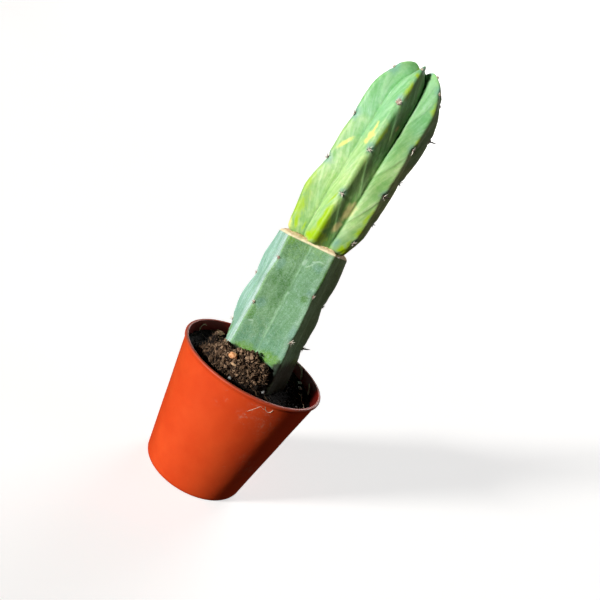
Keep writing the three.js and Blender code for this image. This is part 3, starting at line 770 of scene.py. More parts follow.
def pot_finish():
    sockets = {"Specular_IOR_Level": 0.4, "Subsurface_Weight": 0.05, "Subsurface_Scale": 0.001}
    f = Finish("moulded_plastic", Roughness=0.4, **sockets)
    f.shader.inputs["Subsurface Radius"].default_value = (1.0, 0.2, 0.1)
    here = f.place()
    cloudy = f.grain(here, 0.05, 4, 0.6)
    colour = f.mix(f.spread(cloudy, 0.3, 0.7), (0.66, 0.06, 0.011), (0.73, 0.08, 0.016))
    scratches = f.grain(f.place((0.5, 0.5, 2.5)), 1.3, 6, 0.7, 1.5)
    worn = f.spread(scratches, 0.64, 0.74, 0.0, 0.35)
    colour = f.mix(worn, colour, (0.75, 0.3, 0.17))
    smeared = f.spread(f.grain(here, 0.5, 5, 0.65, 1.0), 0.48, 0.7, 0.0, 0.4)
    dust = f.times(f.mark("dust"), smeared)
    colour = f.mix(dust, colour, (0.6, 0.36, 0.26))
    # painted shade: the rim's thin top edge is dark
    colour = f.mix(f.mark("lip"), colour, (0.24, 0.06, 0.04))
    # painted shade: the inside wall is near black
    colour = f.mix(f.mark("inside"), colour, (0.13, 0.007, 0.005))
    dull = f.math("MAXIMUM", dust, f.mark("lip"))
    rough = f.swayed(f.spread(scratches, 0.3, 0.8, 0.34, 0.5), dull, 0.3)
    return f.done(colour, rough, f.bump(scratches, 0.02, f.bump(cloudy, 0.3)))


def plain_bit(name, dark, light, per_mm):
    """The finish of a loose bit, cloudy between two colours."""
    f = Finish(name, Roughness=0.85, Specular_IOR_Level=0.3)
    grain = f.grain(f.place(), per_mm, 4, 0.65)
    return f.done(f.mix(f.spread(grain, 0.3, 0.7), dark, light), None, f.bump(grain, 0.15))


# Plant

STOCK_SLICES = 240
SCION_SLICES = 300

# Marks on the skins, each with its azimuth, height, reach across, reach along and lean to the right
SCION_LIME = [
    (-9.5, 17, 1, 2.6, 0),
    (-10.5, 14.5, 2.1, 3.6, 0),
    (-10, 10.5, 2.9, 4.2, 0),
    (-7, 5.6, 4.8, 3, 0),
    (-20, 4.6, 3.8, 1.7, 0),
    (-58, 6.4, 0.8, 3.4, -25),
    (43, 5, 3.4, 1.7, 0),
    (47.5, 8.5, 1.4, 2.8, 0),
    (232, 14, 2, 7, 0),
    (172, 20, 2, 8, 0),
]
SCION_FRESH = [
    (-5, 74, 1.5, 7, 0),
    (-7, 82, 0.9, 3.5, 0),
    (-58, 86.5, 1.4, 2.6, 0),
    (47, 74, 1.3, 3.5, 0),
    (49, 59, 1, 2.6, 0),
    (-3, 53, 0.9, 6, 0),
    (-63, 22, 1.8, 8, 0),
    (-62.5, 12, 3, 7, 0),
    (-47.8, 6.3, 0.6, 2.6, 0),
    (-17, 22, 0.8, 5, 20),
    (46, 14.5, 1.7, 4.5, 0),
    (45.5, 21, 1.1, 4, 0),
    (172, 66, 1.6, 7, 0),
    (112, 30, 1.6, 8, 0),
    (232, 50, 1.6, 6, 0),
    (110, 8, 2.6, 5, 0),
    (292, 10, 3, 6, 0),
]
SCION_YELLOW = [
    (-57.6, 44.4, 1, 4.3, 28),
    (-17.6, 55, 1.2, 3.4, 0),
    (-18, 51.6, 2.5, 2.6, 0),
    (-21, 49.3, 2, 1.4, 0),
    (-67, 4.2, 1.7, 3.2, 0),
]
SCION_TAN = [(15.5, 20.2, 2, 4.8, 12), (13.8, 12.2, 1.5, 3.2, 5), (11.4, 59.6, 0.8, 1.2, 0)]
SCION_AQUA = [
    (-64.5, 35, 2.4, 3, 20),
    (-64.5, 56.5, 2.4, 3, 20),
    (-63, 80.5, 2.4, 2.6, 0),
    (29, 6, 2, 2.4, 0),
]
SCION_PALE = [(31, 11, 2.2, 2.4, 0), (-20, 13, 1.6, 5, 0), (-50, 20, 1.2, 8, 0)]
RIPENESS = np.array([1, 0.95, 0.9, 0.75, 0.85, 0.8])  # how light each rib's green is
STOCK_LIME = [
    (-32, 58, 1.8, 2.6, 0),
    (28.5, 37.9, 1.5, 1.8, 0),
    (-31.5, 22.5, 1.7, 3.6, 0),
    (-15, 6.5, 6.5, 3.4, 0),
    (22, 8, 6, 3.2, 0),
    (-86, 8, 3.4, 3.6, 0),
    (37.5, 48, 0.9, 5, 0),
    (100, 6, 6, 3.5, 0),
    (150, 5, 6, 3, 0),
    (200, 6, 6, 4, 0),
]
# patches of painted shadow, cast by soil clumps on the rootstock's foot
STOCK_PAINTED_SHADOWS = [(-28, 4.6, 3, 2.6, 0), (28, 1, 7, 5, 0), (37, 4, 3, 6, 0)]
STOCK_WAX = [
    (-29, 47, 2, 3, 0),
    (31, 41, 1.3, 1.6, 0),
    (-28, 28, 2.4, 3, 0),
    (33, 22.5, 1.6, 3.4, 0),
    (25, 51.8, 2.2, 1.8, 0),
]
STOCK_SCUFFS = [
    (3.4, 51.8, 0.8, 1.8, 10),
    (13.4, 51.2, 0.4, 1.9, 42),
    (19, 53.8, 0.45, 1.6, 62),
    (26, 54.7, 0.4, 1.4, 88),
    (2.4, 37, 0.5, 0.6, 0),
    (-28, 19.3, 0.4, 1.3, 70),
]


def wax_marks(ribs, areoles, reach):
    """A bluish halo around each areole."""
    return [(ribs[rib], at + 0.8, reach, 1.2 * reach, 0) for rib, row in enumerate(areoles) for at in row]


# azimuth and reach of the rootstock's sides that differ
BLUE_SIDE = (-76, 38)
BLUE_BACK = (170, 60)
# the front face that is painted lighter, as if it caught more light
PAINTED_LIGHT_FACE = (19, 18)
# the dark side whose foot is painted near black as shadow, up to a height
PAINTED_SHADOW_SIDE = (85, 52)
PAINTED_SHADOW_TOP = 14
STREAKY_RIB = 1  # the rib whose left flank is streaked with white wax


def on_side(shape, side, power):
    """1 on a side given by its azimuth and reach, and 0 elsewhere."""
    azimuth, reach = side
    return bell(around(shape.azimuth - azimuth), reach, power)


def build_stock():
    bm, shape = turned(len(stock_rows()[0]), STOCK_SLICES, stock_shape)
    left_of_crest = around(shape.azimuth - STOCK_RIBS[shape.rib]) < 0
    streaky = (shape.rib == STREAKY_RIB) & left_of_crest
    dusty_edge = 0.3 * left_of_crest * bell(shape.flank - 1.6, 1.2)
    dusty = np.where(streaky, bell(shape.flank - 2.4, 3.8, 3), dusty_edge)
    halos = spots(shape, wax_marks(STOCK_RIBS, STOCK_AREOLES, 1.7))
    # painted shadow on the dark side's foot, fading out towards the top height
    painted_shadow = on_side(shape, PAINTED_SHADOW_SIDE, 6) * np.clip((PAINTED_SHADOW_TOP - shape.height) / 12, 0, 1)
    marks = {
        "flank": shape.flank,
        "height": shape.height,
        "bloom": np.maximum(on_side(shape, BLUE_SIDE, 4), 0.55 * on_side(shape, BLUE_BACK, 4)),
        "painted_light_face": on_side(shape, PAINTED_LIGHT_FACE, 8),
        "brow": dusty * (1 - 0.4 * bell(shape.flank - 0.5, 1.3)),
        "painted_shadow": np.maximum(painted_shadow, spots(shape, STOCK_PAINTED_SHADOWS, 0.4)),
        "ridge": bell(shape.flank, 0.7) * (1 - left_of_crest),
        "valley_line_and_shade": bell(shape.off_valley, 0.42),
        "wax": np.maximum(spots(shape, STOCK_WAX), 0.6 * halos),
        "lime": spots(shape, STOCK_LIME, 0.35),
        "scuff": spots(shape, STOCK_SCUFFS, 0.4),
        "cut": np.clip((shape.height - STOCK_CUT + 0.3) / 0.2, 0, 1),
    }
    finished("rootstock_stem", bm, stock_finish(), "rootstock", plant_frame, marks=marks)


def build_scion():
    bm, shape = turned(len(scion_rows()[0]), SCION_SLICES, scion_shape)
    right_of_crest = around(shape.azimuth - SCION_RIBS[shape.rib]) > 0
    hollow_flank = (shape.rib == HOLLOW_FLANK[0]) & right_of_crest
    next_rib = shape.rib == HOLLOW_FLANK[0] + 1
    # painted shade: the hollow flank, turned away from the light, and the next rib beside their valley,
    # where the shadow of the hollow flank's rib falls
    painted_shade = 0.85 * next_rib * bell(shape.off_valley, 7) * bell(shape.height - 50, 22, 4)
    painted_shade += 0.75 * hollow_flank * np.clip(shape.flank / 2, 0, 1)
    marks = {
        "flank": shape.flank,
        "height": shape.height,
        "fold": np.maximum(shape.fold, 2 * spots(shape, SCION_PALE, 0.3, 2)),
        "ripeness_and_painted_shade": RIPENESS[shape.rib] - painted_shade,
        "rim": bell(shape.flank - 0.6, 1.1) * np.clip(1.2 - shape.height / 60, 0.3, 1),
        # painted shade along the valleys
        "valley_line_and_shade": bell(shape.off_valley, 0.42) * np.clip(1 - shape.height / 60, 0.25, 0.8),
        "wax": spots(shape, wax_marks(SCION_RIBS, SCION_AREOLES, 2.3) + SCION_AQUA, 0.3, 2),
        "lime": np.maximum(spots(shape, SCION_LIME, 0.3, 2), 0.6 * spots(shape, SCION_FRESH, 0.4, 2)),
        "yellow": spots(shape, SCION_YELLOW, 0.35),
        "tan": spots(shape, SCION_TAN, 0.4),
    }
    finished("scion_stem", bm, scion_finish(), "scion", scion_frame, marks=marks)


# height above the cut and share of the cut's outline, from the middle of the underside to the middle of
# the top
CALLUS_SIDE = [(-0.2, 0), (-0.2, 0.985), (0.15, 0.985), (0.5, 0.97), (0.9, 0.93), (1.4, 0.87), (1.8, 0.81)]
CALLUS_TOP = [(2, 0.76), (2.05, 0.65), (2.05, 0.5), (2.05, 0.33), (2.05, 0.15), (2, 0)]


def callus_shape(turn, row):
    heights, shares = np.array(CALLUS_SIDE + CALLUS_TOP).T
    shape = stock_outline(turn, np.full(len(turn), STOCK_CUT - 0.01))
    share = shares[row]
    flat = on_ring(shape.azimuth, shape.radius) * share[:, None]
    rough = 0.3 * turbulence(flat, 0.5, 3, shift=3) + 0.12 * turbulence(flat, 1.6, 2, shift=8)
    pleats = 0.1 * np.sin(np.radians(shape.azimuth) * 70 + 3 * turbulence(flat, 0.4))
    radius = (shape.radius + (rough + pleats) * bell(share - 0.9, 0.14)) * share
    shape.points = on_ring(shape.azimuth, radius, STOCK_CUT + heights[row] + rough * (row > 2))
    shape.points[:, 2] += stock_lift(*shape.points.T[:2], STOCK_CUT)
    shape.inward = 1 - share
    return shape


def build_callus():
    bm, shape = turned(len(CALLUS_SIDE + CALLUS_TOP), STOCK_SLICES, callus_shape)
    marks = {"inward": shape.inward}
    finished("graft_flesh", bm, flesh_finish(), "graft_callus", plant_frame, marks=marks)


def tapered(strands, sides):
    """A mesh of thin tubes. Each strand is a list of points with a radius at each."""
    curve = bpy.data.curves.new("strands", "CURVE")
    curve.dimensions = "3D"
    curve.bevel_depth = 1
    curve.bevel_resolution = sides
    curve.use_fill_caps = True
    for strand in strands:
        spline = curve.splines.new("POLY")
        spline.points.add(len(strand) - 1)
        for point, (place, radius) in zip(spline.points, strand):
            point.co = (*place, 1)
            point.radius = radius
    holder = bpy.data.objects.new("strands", curve)
    mesh = bpy.data.meshes.new_from_object(holder)
    bpy.data.objects.remove(holder)
    bpy.data.curves.remove(curve)
    return mesh


def add_toned(bm, tone_layer, before, tone):
    """Gives the vertices made since a count their tone."""
    bm.verts.ensure_lookup_table()
    for v in bm.verts[before:]:
        v[tone_layer] = tone


def outwards(lean, turn):
    """A direction that leans off Z and turns around it."""
    return Vector((math.sin(lean) * math.cos(turn), math.sin(lean) * math.sin(turn), math.cos(lean)))


SPINE_TAPER = ((0, 1), (0.35, 0.85), (0.7, 0.55), (1, 0.15))  # shares of the length and of the radius


def spine(length, lean, turn, radius, bend=0.15):
    """A curved, tapered spine from the middle of an areole."""
    out = outwards(lean, turn)
    aside = out.cross(Vector((math.sin(turn), -math.cos(turn), 0.2))).normalized()
    path = []
    for along, thickness in SPINE_TAPER:
        reach = length * along
        point = out * reach + aside * (bend * reach * along) + Vector((0, 0, 0.1))
        path.append((point, radius * thickness))
    return path


def add_strands(bm, tone, strands, shade, sides):
    """Adds tapered strands of one tone."""
    before = len(bm.verts)
    bm.from_mesh(tapered(strands, sides))
    add_toned(bm, tone, before, shade)


PAD_SHAPE = (1, 1.15, 0.55)


def on_pad(point, size):
    """A point of the unit ball, moved to a felt pad of some size."""
    return Vector([a * size * b for a, b in zip(point, PAD_SHAPE)])


def build_areole(place, size, felt_tone, wool, spines, long_spine):
    """A felt pad with wool and spines, given by their number, tone, length and thickness."""
    bm = bmesh.new()
    tone = bm.verts.layers.float.new("tone")
    bmesh.ops.create_icosphere(bm, subdivisions=3, radius=1)
    for v in bm.verts:
        lumps = noise.noise(v.co * 2.3 + place.translation)
        tufts = noise.noise(v.co * 6 + place.translation)
        v.co = on_pad(v.co, size) * (1 + 0.3 * lumps + 0.15 * tufts)
    add_toned(bm, tone, 0, felt_tone)
    count, shade, length = wool
    tufts = []
    for _ in range(count):
        turn, lean = draw.uniform(0, math.tau), math.acos(draw.uniform(0.1, 1))
        out = outwards(lean, turn)
        root = on_pad(out, size) * 0.85
        curl = Vector([draw.uniform(-0.5, 0.5) * length for _ in range(3)])
        middle = root + out * (length * 0.6) + curl * 0.3
        tufts.append([(root, 0.07), (middle, 0.06), (root + out * length + curl, 0.03)])
    add_strands(bm, tone, tufts, shade, 0)
    for count, shade, length, thickness in spines:
        strands = []
        for k in range(count):
            turn = math.tau * (k + draw.uniform(-0.3, 0.3)) / count + shade * 5
            reach, lean = length * draw.uniform(0.7, 1.2), draw.uniform(0.6, 1.35)
            strands.append(spine(reach, lean, turn, thickness))
        if long_spine and shade < 0.3:
            strands.append(spine(long_spine, 0.25, 0.6, 0.45, 0.05))
        add_strands(bm, tone, strands, shade, 1)
    return bm


def areole_place(stem, azimuth, radius, height, lift, outward):
    """The frame of an areole, whose Z points off the crest and whose Y points up the rib."""
    dx, dy = direction(azimuth)
    out = Vector((dx, dy, outward)).normalized()
    up = (Vector((0, 0, 1)) - out * out.z).normalized()
    across = up.cross(out)
    turn = Matrix((across, up, out)).transposed().to_4x4()
    point = Vector((dx * radius, dy * radius, height + lift))
    return stem @ Matrix.Translation(point) @ turn


# The areoles from a height up: the felt's size and tone, the wool's number, tone and length, and the
# number, tone, length and thickness of each kind of spine. Young areoles have more wool and shorter,
# redder spines.
SCION_LOOKS = [
    (78, 0.5, 0.7, (40, 1, 0.4), [(4, 0.9, 0.8, 0.17), (2, 0.15, 0.7, 0.12)]),
    (60, 1.05, 0.64, (80, 1, 0.5), [(7, 1, 1.35, 0.3), (3, 0.08, 1.2, 0.15)]),
    (0, 0.5, 0.2, (24, 0.85, 0.35), [(7, 1, 2.1, 0.18), (4, 0.02, 1.5, 0.16)]),
]
STOCK_LOOKS = [
    (20, 0.55, 0.5, (20, 0.85, 0.35), [(5, 0.95, 1.2, 0.15), (3, 0.1, 1.2, 0.13)]),
    (0, 0.5, 0.25, (40, 0.95, 0.45), [(6, 1, 1.9, 0.18), (3, 0.04, 1.5, 0.15)]),
]
LONG_SPINES = {"scion_areole_4_3": 5, "rootstock_areole_4_1": 4.5, "scion_areole_3_2": 3}
CREST_STEP = 0.4  # how far up and down the crest its slope is taken


def build_areoles(felt, prefix, stem, ribs, areoles, crest, lift, sink, looks):
    for rib, row in enumerate(areoles):
        for k, height in enumerate(row):
            name = f"{prefix}_areole_{rib + 1}_{k + 1}"
            near = crest(np.full(3, rib), np.array([height - CREST_STEP, height, height + CREST_STEP]))
            radius = near[1] - sink
            dx, dy = direction(ribs[rib])
            rise = float(lift(dx * radius, dy * radius, height))
            outward = (near[0] - near[2]) / (2 * CREST_STEP)
            place = areole_place(stem, ribs[rib], radius, height, rise, outward)
            look = next(parts for start, *parts in looks if height >= start)
            bm = build_areole(place, *look, LONG_SPINES.get(name, 0))
            finished(name.replace("areole", "felt"), bm, felt, name, place)


# Pot, soil and loose bits


def pot_outer(z):
    return BASE_RADIUS + (RIM_RADIUS - LIP_PROUD - BASE_RADIUS) * z / POT_HEIGHT


def arc(middle, radius, start, end, steps=4):
    """Points on part of a circle, with angles in degrees from the outward direction."""
    angles = np.radians(np.linspace(start, end, steps + 1))
    return [(middle[0] + radius * math.cos(a), middle[1] + radius * math.sin(a)) for a in angles]


def pot_profile():
    """Radii and heights from the middle of the base, up the outside, over the lip and down the inside."""
    lip_foot = POT_HEIGHT - LIP_HEIGHT
    outside = [(pot_outer(z), z) for z in np.linspace(1.4, lip_foot - 0.3, 56)]
    lip = [(pot_outer(lip_foot) + 0.1, lip_foot - 0.1), (RIM_RADIUS - 0.12, lip_foot + 0.2)]
    lip += arc((RIM_RADIUS - 0.6, POT_HEIGHT - 0.6), 0.6, 0, 90)
    inner_edge = pot_outer(POT_HEIGHT) - WALL
    lip += arc((inner_edge + 0.35, POT_HEIGHT - 0.35), 0.35, 90, 180)
    inside = [(pot_outer(z) - WALL, z) for z in np.linspace(POT_HEIGHT - 1.2, FLOOR + 0.9, 40)]
    inside += arc((pot_outer(FLOOR) - WALL - 0.8, FLOOR + 0.8), 0.8, 0, -90)
    foot = [(0, 0), (12, 0), (21, 0)] + arc((BASE_RADIUS - 1.15, 1.2), 1.2, -90, -10)
    return np.array(foot + outside + lip + inside + [(12, FLOOR), (0, FLOOR)])


# azimuth, height, reach across, reach along and lean
POT_DUST = [
    (24, 55, 7, 4, 30),
    (34, 50, 5, 5, 0),
    (14, 51, 4, 3, 60),
    (-9, 50, 1.6, 1.6, 0),
    (33, 42, 1.2, 1.2, 0),
    (-6, 56, 3, 0.7, 60),
    (150, 40, 12, 9, 20),
    (-120, 30, 9, 12, 0),
    (60, 20, 14, 6, 40),
    (210, 52, 8, 3, 60),
]
POT_SLICES = 192


def pot_shape(turn, row):
    azimuth = around(360 * turn)
    radius, height = pot_profile()[row].T
    waves = 0.09 * turbulence(on_ring(azimuth, radius, height), 0.045)
    waves *= np.minimum(1, height / 10) * (radius > 20)
    points = on_ring(azimuth, radius + waves, height)
    least = np.maximum(radius, 1)
    return SimpleNamespace(points=points, azimuth=azimuth, height=height, radius=least, row=row)


def build_pot():
    profile = pot_profile()
    bm, shape = turned(len(profile), POT_SLICES, pot_shape)
    lip_end = int(np.argmax(profile[:, 1])) + 3
    # the rim's top edge, painted darker as shade
    lip = bell(shape.height - POT_HEIGHT + 0.1, 0.5, 4) * (shape.row <= lip_end)
    # the inside wall, painted near black as shade
    inside = (shape.row > lip_end) & (shape.height > FLOOR)
    marks = {"dust": spots(shape, POT_DUST, 0.5), "lip": 0.55 * lip, "inside": inside}
    cut_drain_holes(finished("plastic_pot", bm, pot_finish(), "pot", marks=marks))


def cut_drain_holes(pot):
    holes = bmesh.new()
    for k in range(DRAIN_HOLES):
        dx, dy = direction(30 + 360 / DRAIN_HOLES * k)
        at = Matrix.Translation((dx * DRAIN_CIRCLE_RADIUS, dy * DRAIN_CIRCLE_RADIUS, FLOOR / 2))
        bmesh.ops.create_cone(
            holes,
            cap_ends=True,
            segments=32,
            radius1=DRAIN_HOLE_RADIUS,
            radius2=DRAIN_HOLE_RADIUS,
            depth=4 * FLOOR,
            matrix=at,
        )
    holes.transform(Matrix.Scale(MM, 4))
    cutter = new_object("drain_holes", mesh_of("drain_holes", holes))
    cut = pot.modifiers.new("drain_holes", "BOOLEAN")
    cut.operation, cut.solver, cut.object = "DIFFERENCE", "EXACT", cutter
    bpy.context.view_layer.update()
    whole = bpy.data.meshes.new_from_object(pot.evaluated_get(bpy.context.evaluated_depsgraph_get()))
    pot.modifiers.clear()
    pot.data = whole
    bpy.data.objects.remove(cutter)


def soil_height(x, y):
    heaps = 0
    for rise, at, spread, flat in SOIL_HEAPS:
        across, along = np.abs((x - at[0]) / spread[0]), (y - at[1]) / spread[1]
        heaps = heaps + rise * np.exp(-(across**flat) - along**2)
    return POT_HEIGHT + SOIL_LEVEL + heaps


# Clods that stand above the heaps: rise, middle and reach
CLODS = [
    (6.8, (-20.8, -5.6), 2),
    (2.8, (-22.2, -13.5), 2.6),
    (2.4, (-18.5, -17.5), 2.6),
    (3.4, (-15.4, -7), 2.2),
    (1.5, (-14, -17.5), 2.4),
    (-1.6, (-10.5, -15.5), 1.8),
    (1.6, (-2.5, -17), 3.2),
    (2.6, (5, -17.5), 2.6),
    (3.2, (7.8, -18), 2.2),
    (2.4, (8.2, -21), 2),
    (1, (-5, -22), 2),
    (1.2, (1.5, -23), 2.2),
    (-1, (-8.5, -24.5), 2),
]


def mound(x, y):
    """1 on the dry heap in front of the plant, and 0 on the soil around it, which is painted near black as
    shade.
    """
    front = 1 / (1 + np.exp((y + 6.5 - 0.9 * np.maximum(0, x + 17)) / 0.8))
    heap = front * np.clip((soil_height(x, y) - POT_HEIGHT + 2.5) / 3.5, 0, 1)
    west = 0.8 * bell(np.hypot((x + 20.5) / 5, (y + 15) / 6), 1, 4)
    tower, lump = bell(np.hypot(x + 20.8, y + 5.6), 2.2), bell(np.hypot(x + 15.4, y + 6.5), 3)
    return np.maximum(np.maximum(heap, west), np.maximum(tower, lump))


def rough_soil(x, y):
    flat = np.c_[x, y, 0 * x]
    height = soil_height(x, y) + 1.5 * turbulence(flat, 0.3, 3, shift=21) * (0.2 + mound(x, y))
    for rise, at, reach in CLODS:
        height += rise * bell(np.hypot(x - at[0], y - at[1]), reach, 3)
    return height + 0.3 * turbulence(flat, 1.1, 2, shift=2)


SOIL_TOP_ROWS = 72
SOIL_SLICES = 288
SOIL_SOCKET = STOCK_STUMP + [(-10, 1)]
SOIL_WALL_GAP = 1.2 * GAP


def from_plant(points):
    """Points of the plant's own frame, as points of the pot's."""
    return np.array([plant_frame @ Vector(p) for p in points])


def soil_edges(turn):
    """The soil's inner edge, on the rootstock, and its outer edge, on the pot, turn by turn."""
    height = np.zeros(len(turn))
    for _ in range(4):
        stem = stock_outline(turn, height, GAP)
        inner = from_plant(on_ring(stem.azimuth, stem.radius, height))
        height += soil_height(inner[:, 0], inner[:, 1]) - inner[:, 2]
    wall = pot_outer(POT_HEIGHT + SOIL_LEVEL) - WALL - SOIL_WALL_GAP
    return inner[:, :2], on_ring(stem.azimuth, wall)[:, :2], stem.azimuth


def soil_shape(turn, row):
    """Its rows go up the socket of the rootstock's buried end, out over the top to the pot, down to the
    edge of its foot and in to the middle."""
    inner, outer, azimuth = soil_edges(turn)
    points = np.zeros((len(turn), 3))
    for k, (height, share) in enumerate(SOIL_SOCKET):
        on = row == k
        stem = stock_outline(turn[on], np.full(on.sum(), float(height)), GAP)
        points[on] = from_plant(on_ring(azimuth[on], stem.radius * share, height - GAP))
    top_row = row - len(SOIL_SOCKET)
    top = (top_row >= 0) & (top_row < SOIL_TOP_ROWS)
    share = (top_row[top] / (SOIL_TOP_ROWS - 1))[:, None]
    flat = inner[top] * (1 - share) + outer[top] * share
    points[top] = np.c_[flat, rough_soil(flat[:, 0], flat[:, 1])]
    low = top_row == SOIL_TOP_ROWS
    foot = pot_outer(FLOOR + GAP) - WALL - SOIL_WALL_GAP
    points[low] = on_ring(azimuth[low], foot, FLOOR + GAP)
    points[top_row > SOIL_TOP_ROWS] = (0, 0, FLOOR + GAP)
    return SimpleNamespace(points=points)


def build_soil(peat):
    bm, shape = turned(len(SOIL_SOCKET) + SOIL_TOP_ROWS + 2, SOIL_SLICES, soil_shape)
    # painted shade: the soil off the heap is near black
    tone = 0.02 + 0.2 * mound(shape.points[:, 0], shape.points[:, 1])
    finished("soil_bed", bm, peat, "soil", marks={"tone": tone})


def off_the_plant(x, y):
    """True where a crumb can lie: clear of the rootstock and inside the pot."""
    away = np.hypot(x - PLANT_FOOT[0], y - PLANT_FOOT[1])
    azimuth = math.degrees(math.atan2(x - PLANT_FOOT[0], -(y - PLANT_FOOT[1])))
    turns = np.linspace(0, 1, 361)
    outline = stock_outline(turns, np.zeros(361))
    nearest = np.argmin(np.abs(around(outline.azimuth - azimuth)))
    return away > outline.radius[nearest] and math.hypot(x, y) < RIM_RADIUS - 3


def at_point(field, x, y):
    """The value of a field of x and y at one point."""
    return float(field(np.array([x]), np.array([y]))[0])


def in_rim():
    """A random point inside the pot's rim."""
    angle, reach = draw.uniform(0, math.tau), RIM_RADIUS * math.sqrt(draw.random())
    return reach * math.cos(angle), reach * math.sin(angle)


CRUMB_TRIES = 11000
CRUMBS_OFF_HEAP = 0.12  # the share that lies off the heap, on the soil painted near black as shade
CRUMB_SIZE = 0.28
LARGEST_CRUMB = 1.1
CRUMB_ROUGHNESS = 0.6


def build_crumbs(peat):
    """Crumbs of dry peat, thick on the heap and thin elsewhere."""
    bm = bmesh.new()
    tone = bm.verts.layers.float.new("tone")
    for _ in range(CRUMB_TRIES):
        x, y = in_rim()
        dry = at_point(mound, x, y)
        if draw.random() > CRUMBS_OFF_HEAP + (1 - CRUMBS_OFF_HEAP) * dry or not off_the_plant(x, y):
            continue
        size = min(LARGEST_CRUMB, CRUMB_SIZE * math.exp(draw.gauss(0.1, 0.55)) * (0.7 + 0.6 * dry))
        z = at_point(rough_soil, x, y) + size * draw.uniform(0.1, 1.2)
        squash = Matrix.Diagonal((draw.uniform(0.5, 1), draw.uniform(0.6, 1.7), draw.uniform(0.5, 1), 1))
        turn, axis = draw.uniform(0, math.tau), Vector([draw.random() for _ in range(3)])
        place = Matrix.Translation((x, y, z)) @ Matrix.Rotation(turn, 4, axis) @ squash
        before = len(bm.verts)
        bmesh.ops.create_icosphere(bm, subdivisions=1, radius=size, matrix=place)
        bm.verts.ensure_lookup_table()
        for v in bm.verts[before:]:
            v.co += CRUMB_ROUGHNESS * size * noise.noise_vector(v.co * 1.9 / size)
        # crumbs off the heap are painted dark as shade
        shade = 0.05 + dry * draw.uniform(0.2, 0.95) + 0.4 * draw.random() ** 12
        add_toned(bm, tone, before, min(1, shade))
    finished("soil_crumbs", bm, peat, smooth=False)


PEAT_FIBRES = 2000
PEAT_FIBRE_SHADES = (0.45, 0.65, 0.9)


def build_peat_fibres(peat):
    """Short fibres that stick out of the dry heap."""
    strands = []
    while len(strands) < PEAT_FIBRES:
        x, y = draw.uniform(-28, 12), draw.uniform(-32, 0)
        if at_point(mound, x, y) < 0.3 or not off_the_plant(x, y):
            continue
        root = Vector((x, y, at_point(rough_soil, x, y)))
        out = Vector((draw.uniform(-1, 1), draw.uniform(-1, 1), draw.uniform(0.1, 1.3))).normalized()
        bend = Vector([draw.uniform(-0.3, 0.3) for _ in range(3)])
        length = draw.uniform(0.7, 2)
        middle = root + out * length * 0.6 + bend
        strands.append([(root, 0.1), (middle, 0.08), (root + out * length, 0.05)])
    bm = bmesh.new()
    tone = bm.verts.layers.float.new("tone")
    for first, shade in enumerate(PEAT_FIBRE_SHADES):
        add_strands(bm, tone, strands[first :: len(PEAT_FIBRE_SHADES)], shade, 0)
    finished("peat_fibres", bm, peat, smooth=False)


def smooth_path(points, steps=8):
    """Points on a smooth curve through the given ones."""
    given = [np.array(point) for point in points]
    knots = [2 * given[0] - given[1], *given, 2 * given[-1] - given[-2]]
    path = []
    for a, b, c, d in zip(knots, knots[1:], knots[2:], knots[3:]):
        square, cube = 2 * a - 5 * b + 4 * c - d, 3 * b - a - 3 * c + d
        for t in np.arange(steps) / steps:
            path.append(0.5 * (2 * b + (c - a) * t + square * t**2 + cube * t**3))
    return path + [given[-1]]


def on_soil(points, above):
    """Points given by x, y and the lift off the soil, placed in space."""
    return [(x, y, float(soil_height(x, y)) + above + lift) for x, y, lift in points]


def finish_strands(name, strands, sides, material, node=None):
    bm = bmesh.new()
    bm.from_mesh(tapered(strands, sides))
    finished(name, bm, material, node)


# piece, node, radius and route
STRANDS = [
    (
        "pale_root_fibre",
        "root_fibre",
        0.24,
        [(25.3, 9, 0), (27, 8, 0), (27.8, 5.2, 0), (28.2, 2.6, 0), (29.6, 0.6, 0), (30, -2.4, 0)],
    ),
    ("flat_straw_strip", "straw_strip", 0.42, [(29.8, 10.2, 0.1), (29.3, 13, 1.4), (28, 15.9, 2.8)]),
    (
        "split_wood_sliver",
        "wood_sliver",
        0.42,
        [(17.6, 27.3, 4.3), (20.7, 25.1, 4.2), (22.7, 23, 2.8), (23.9, 21, 0.1)],
    ),
    (
        "curled_root",
        "root_curl",
        0.24,
        [(-30.2, 8.4, 0), (-30.6, 9.8, 1.4), (-29.9, 12, 2.8), (-28.8, 13.4, 2.2)],
    ),
]


def build_strand(name, node, radius, route, material):
    path = smooth_path(on_soil(route, radius + 0.45))
    strand = []
    for point, end in zip(path, np.linspace(-1, 1, len(path))):
        thickness = 1 - 0.5 * abs(end) ** 4
        strand.append((point, radius * thickness * draw.uniform(0.85, 1.15)))
    finish_strands(name, [strand], 2, material, node)


ROOTLETS = 90


def build_rootlets(material):
    """Fine rootlets scattered over the soil."""
    strands = []
    while len(strands) < ROOTLETS:
        x, y = in_rim()
        turn = draw.uniform(0, math.tau)
        points = []
        for _ in range(4):
            points.append((x, y, draw.uniform(0, 0.8)))
            turn += draw.uniform(-0.8, 0.8)
            x, y = x + 1.1 * math.cos(turn), y + 1.1 * math.sin(turn)
        if all(off_the_plant(px, py) for px, py, _ in points):
            radius = draw.uniform(0.05, 0.1)
            strands.append([(p, radius) for p in smooth_path(on_soil(points, 0.5), 3)])
    finish_strands("soil_rootlets", strands, 0, material)


# radius, and the azimuth and height of each point
POT_FIBRES = [
    (0.08, [(13.2, 54.2), (15.5, 55.8), (17.6, 57.6), (19.6, 58.9), (21.5, 58.6), (23, 58.1)]),
    (0.12, [(22.6, 59.6), (24.4, 58.2), (26.4, 57.6), (28.4, 57.9), (29.4, 59.2)]),
]


def build_pot_fibres(material):
    """Fibres that cling to the outside of the pot."""
    strands = []
    for radius, route in POT_FIBRES:
        azimuth, height = np.array(route).T
        places = on_ring(azimuth, pot_outer(height) + radius, height)
        strands.append([(p, radius) for p in smooth_path(places)])
    finish_strands("pot_wall_fibres", strands, 1, material)


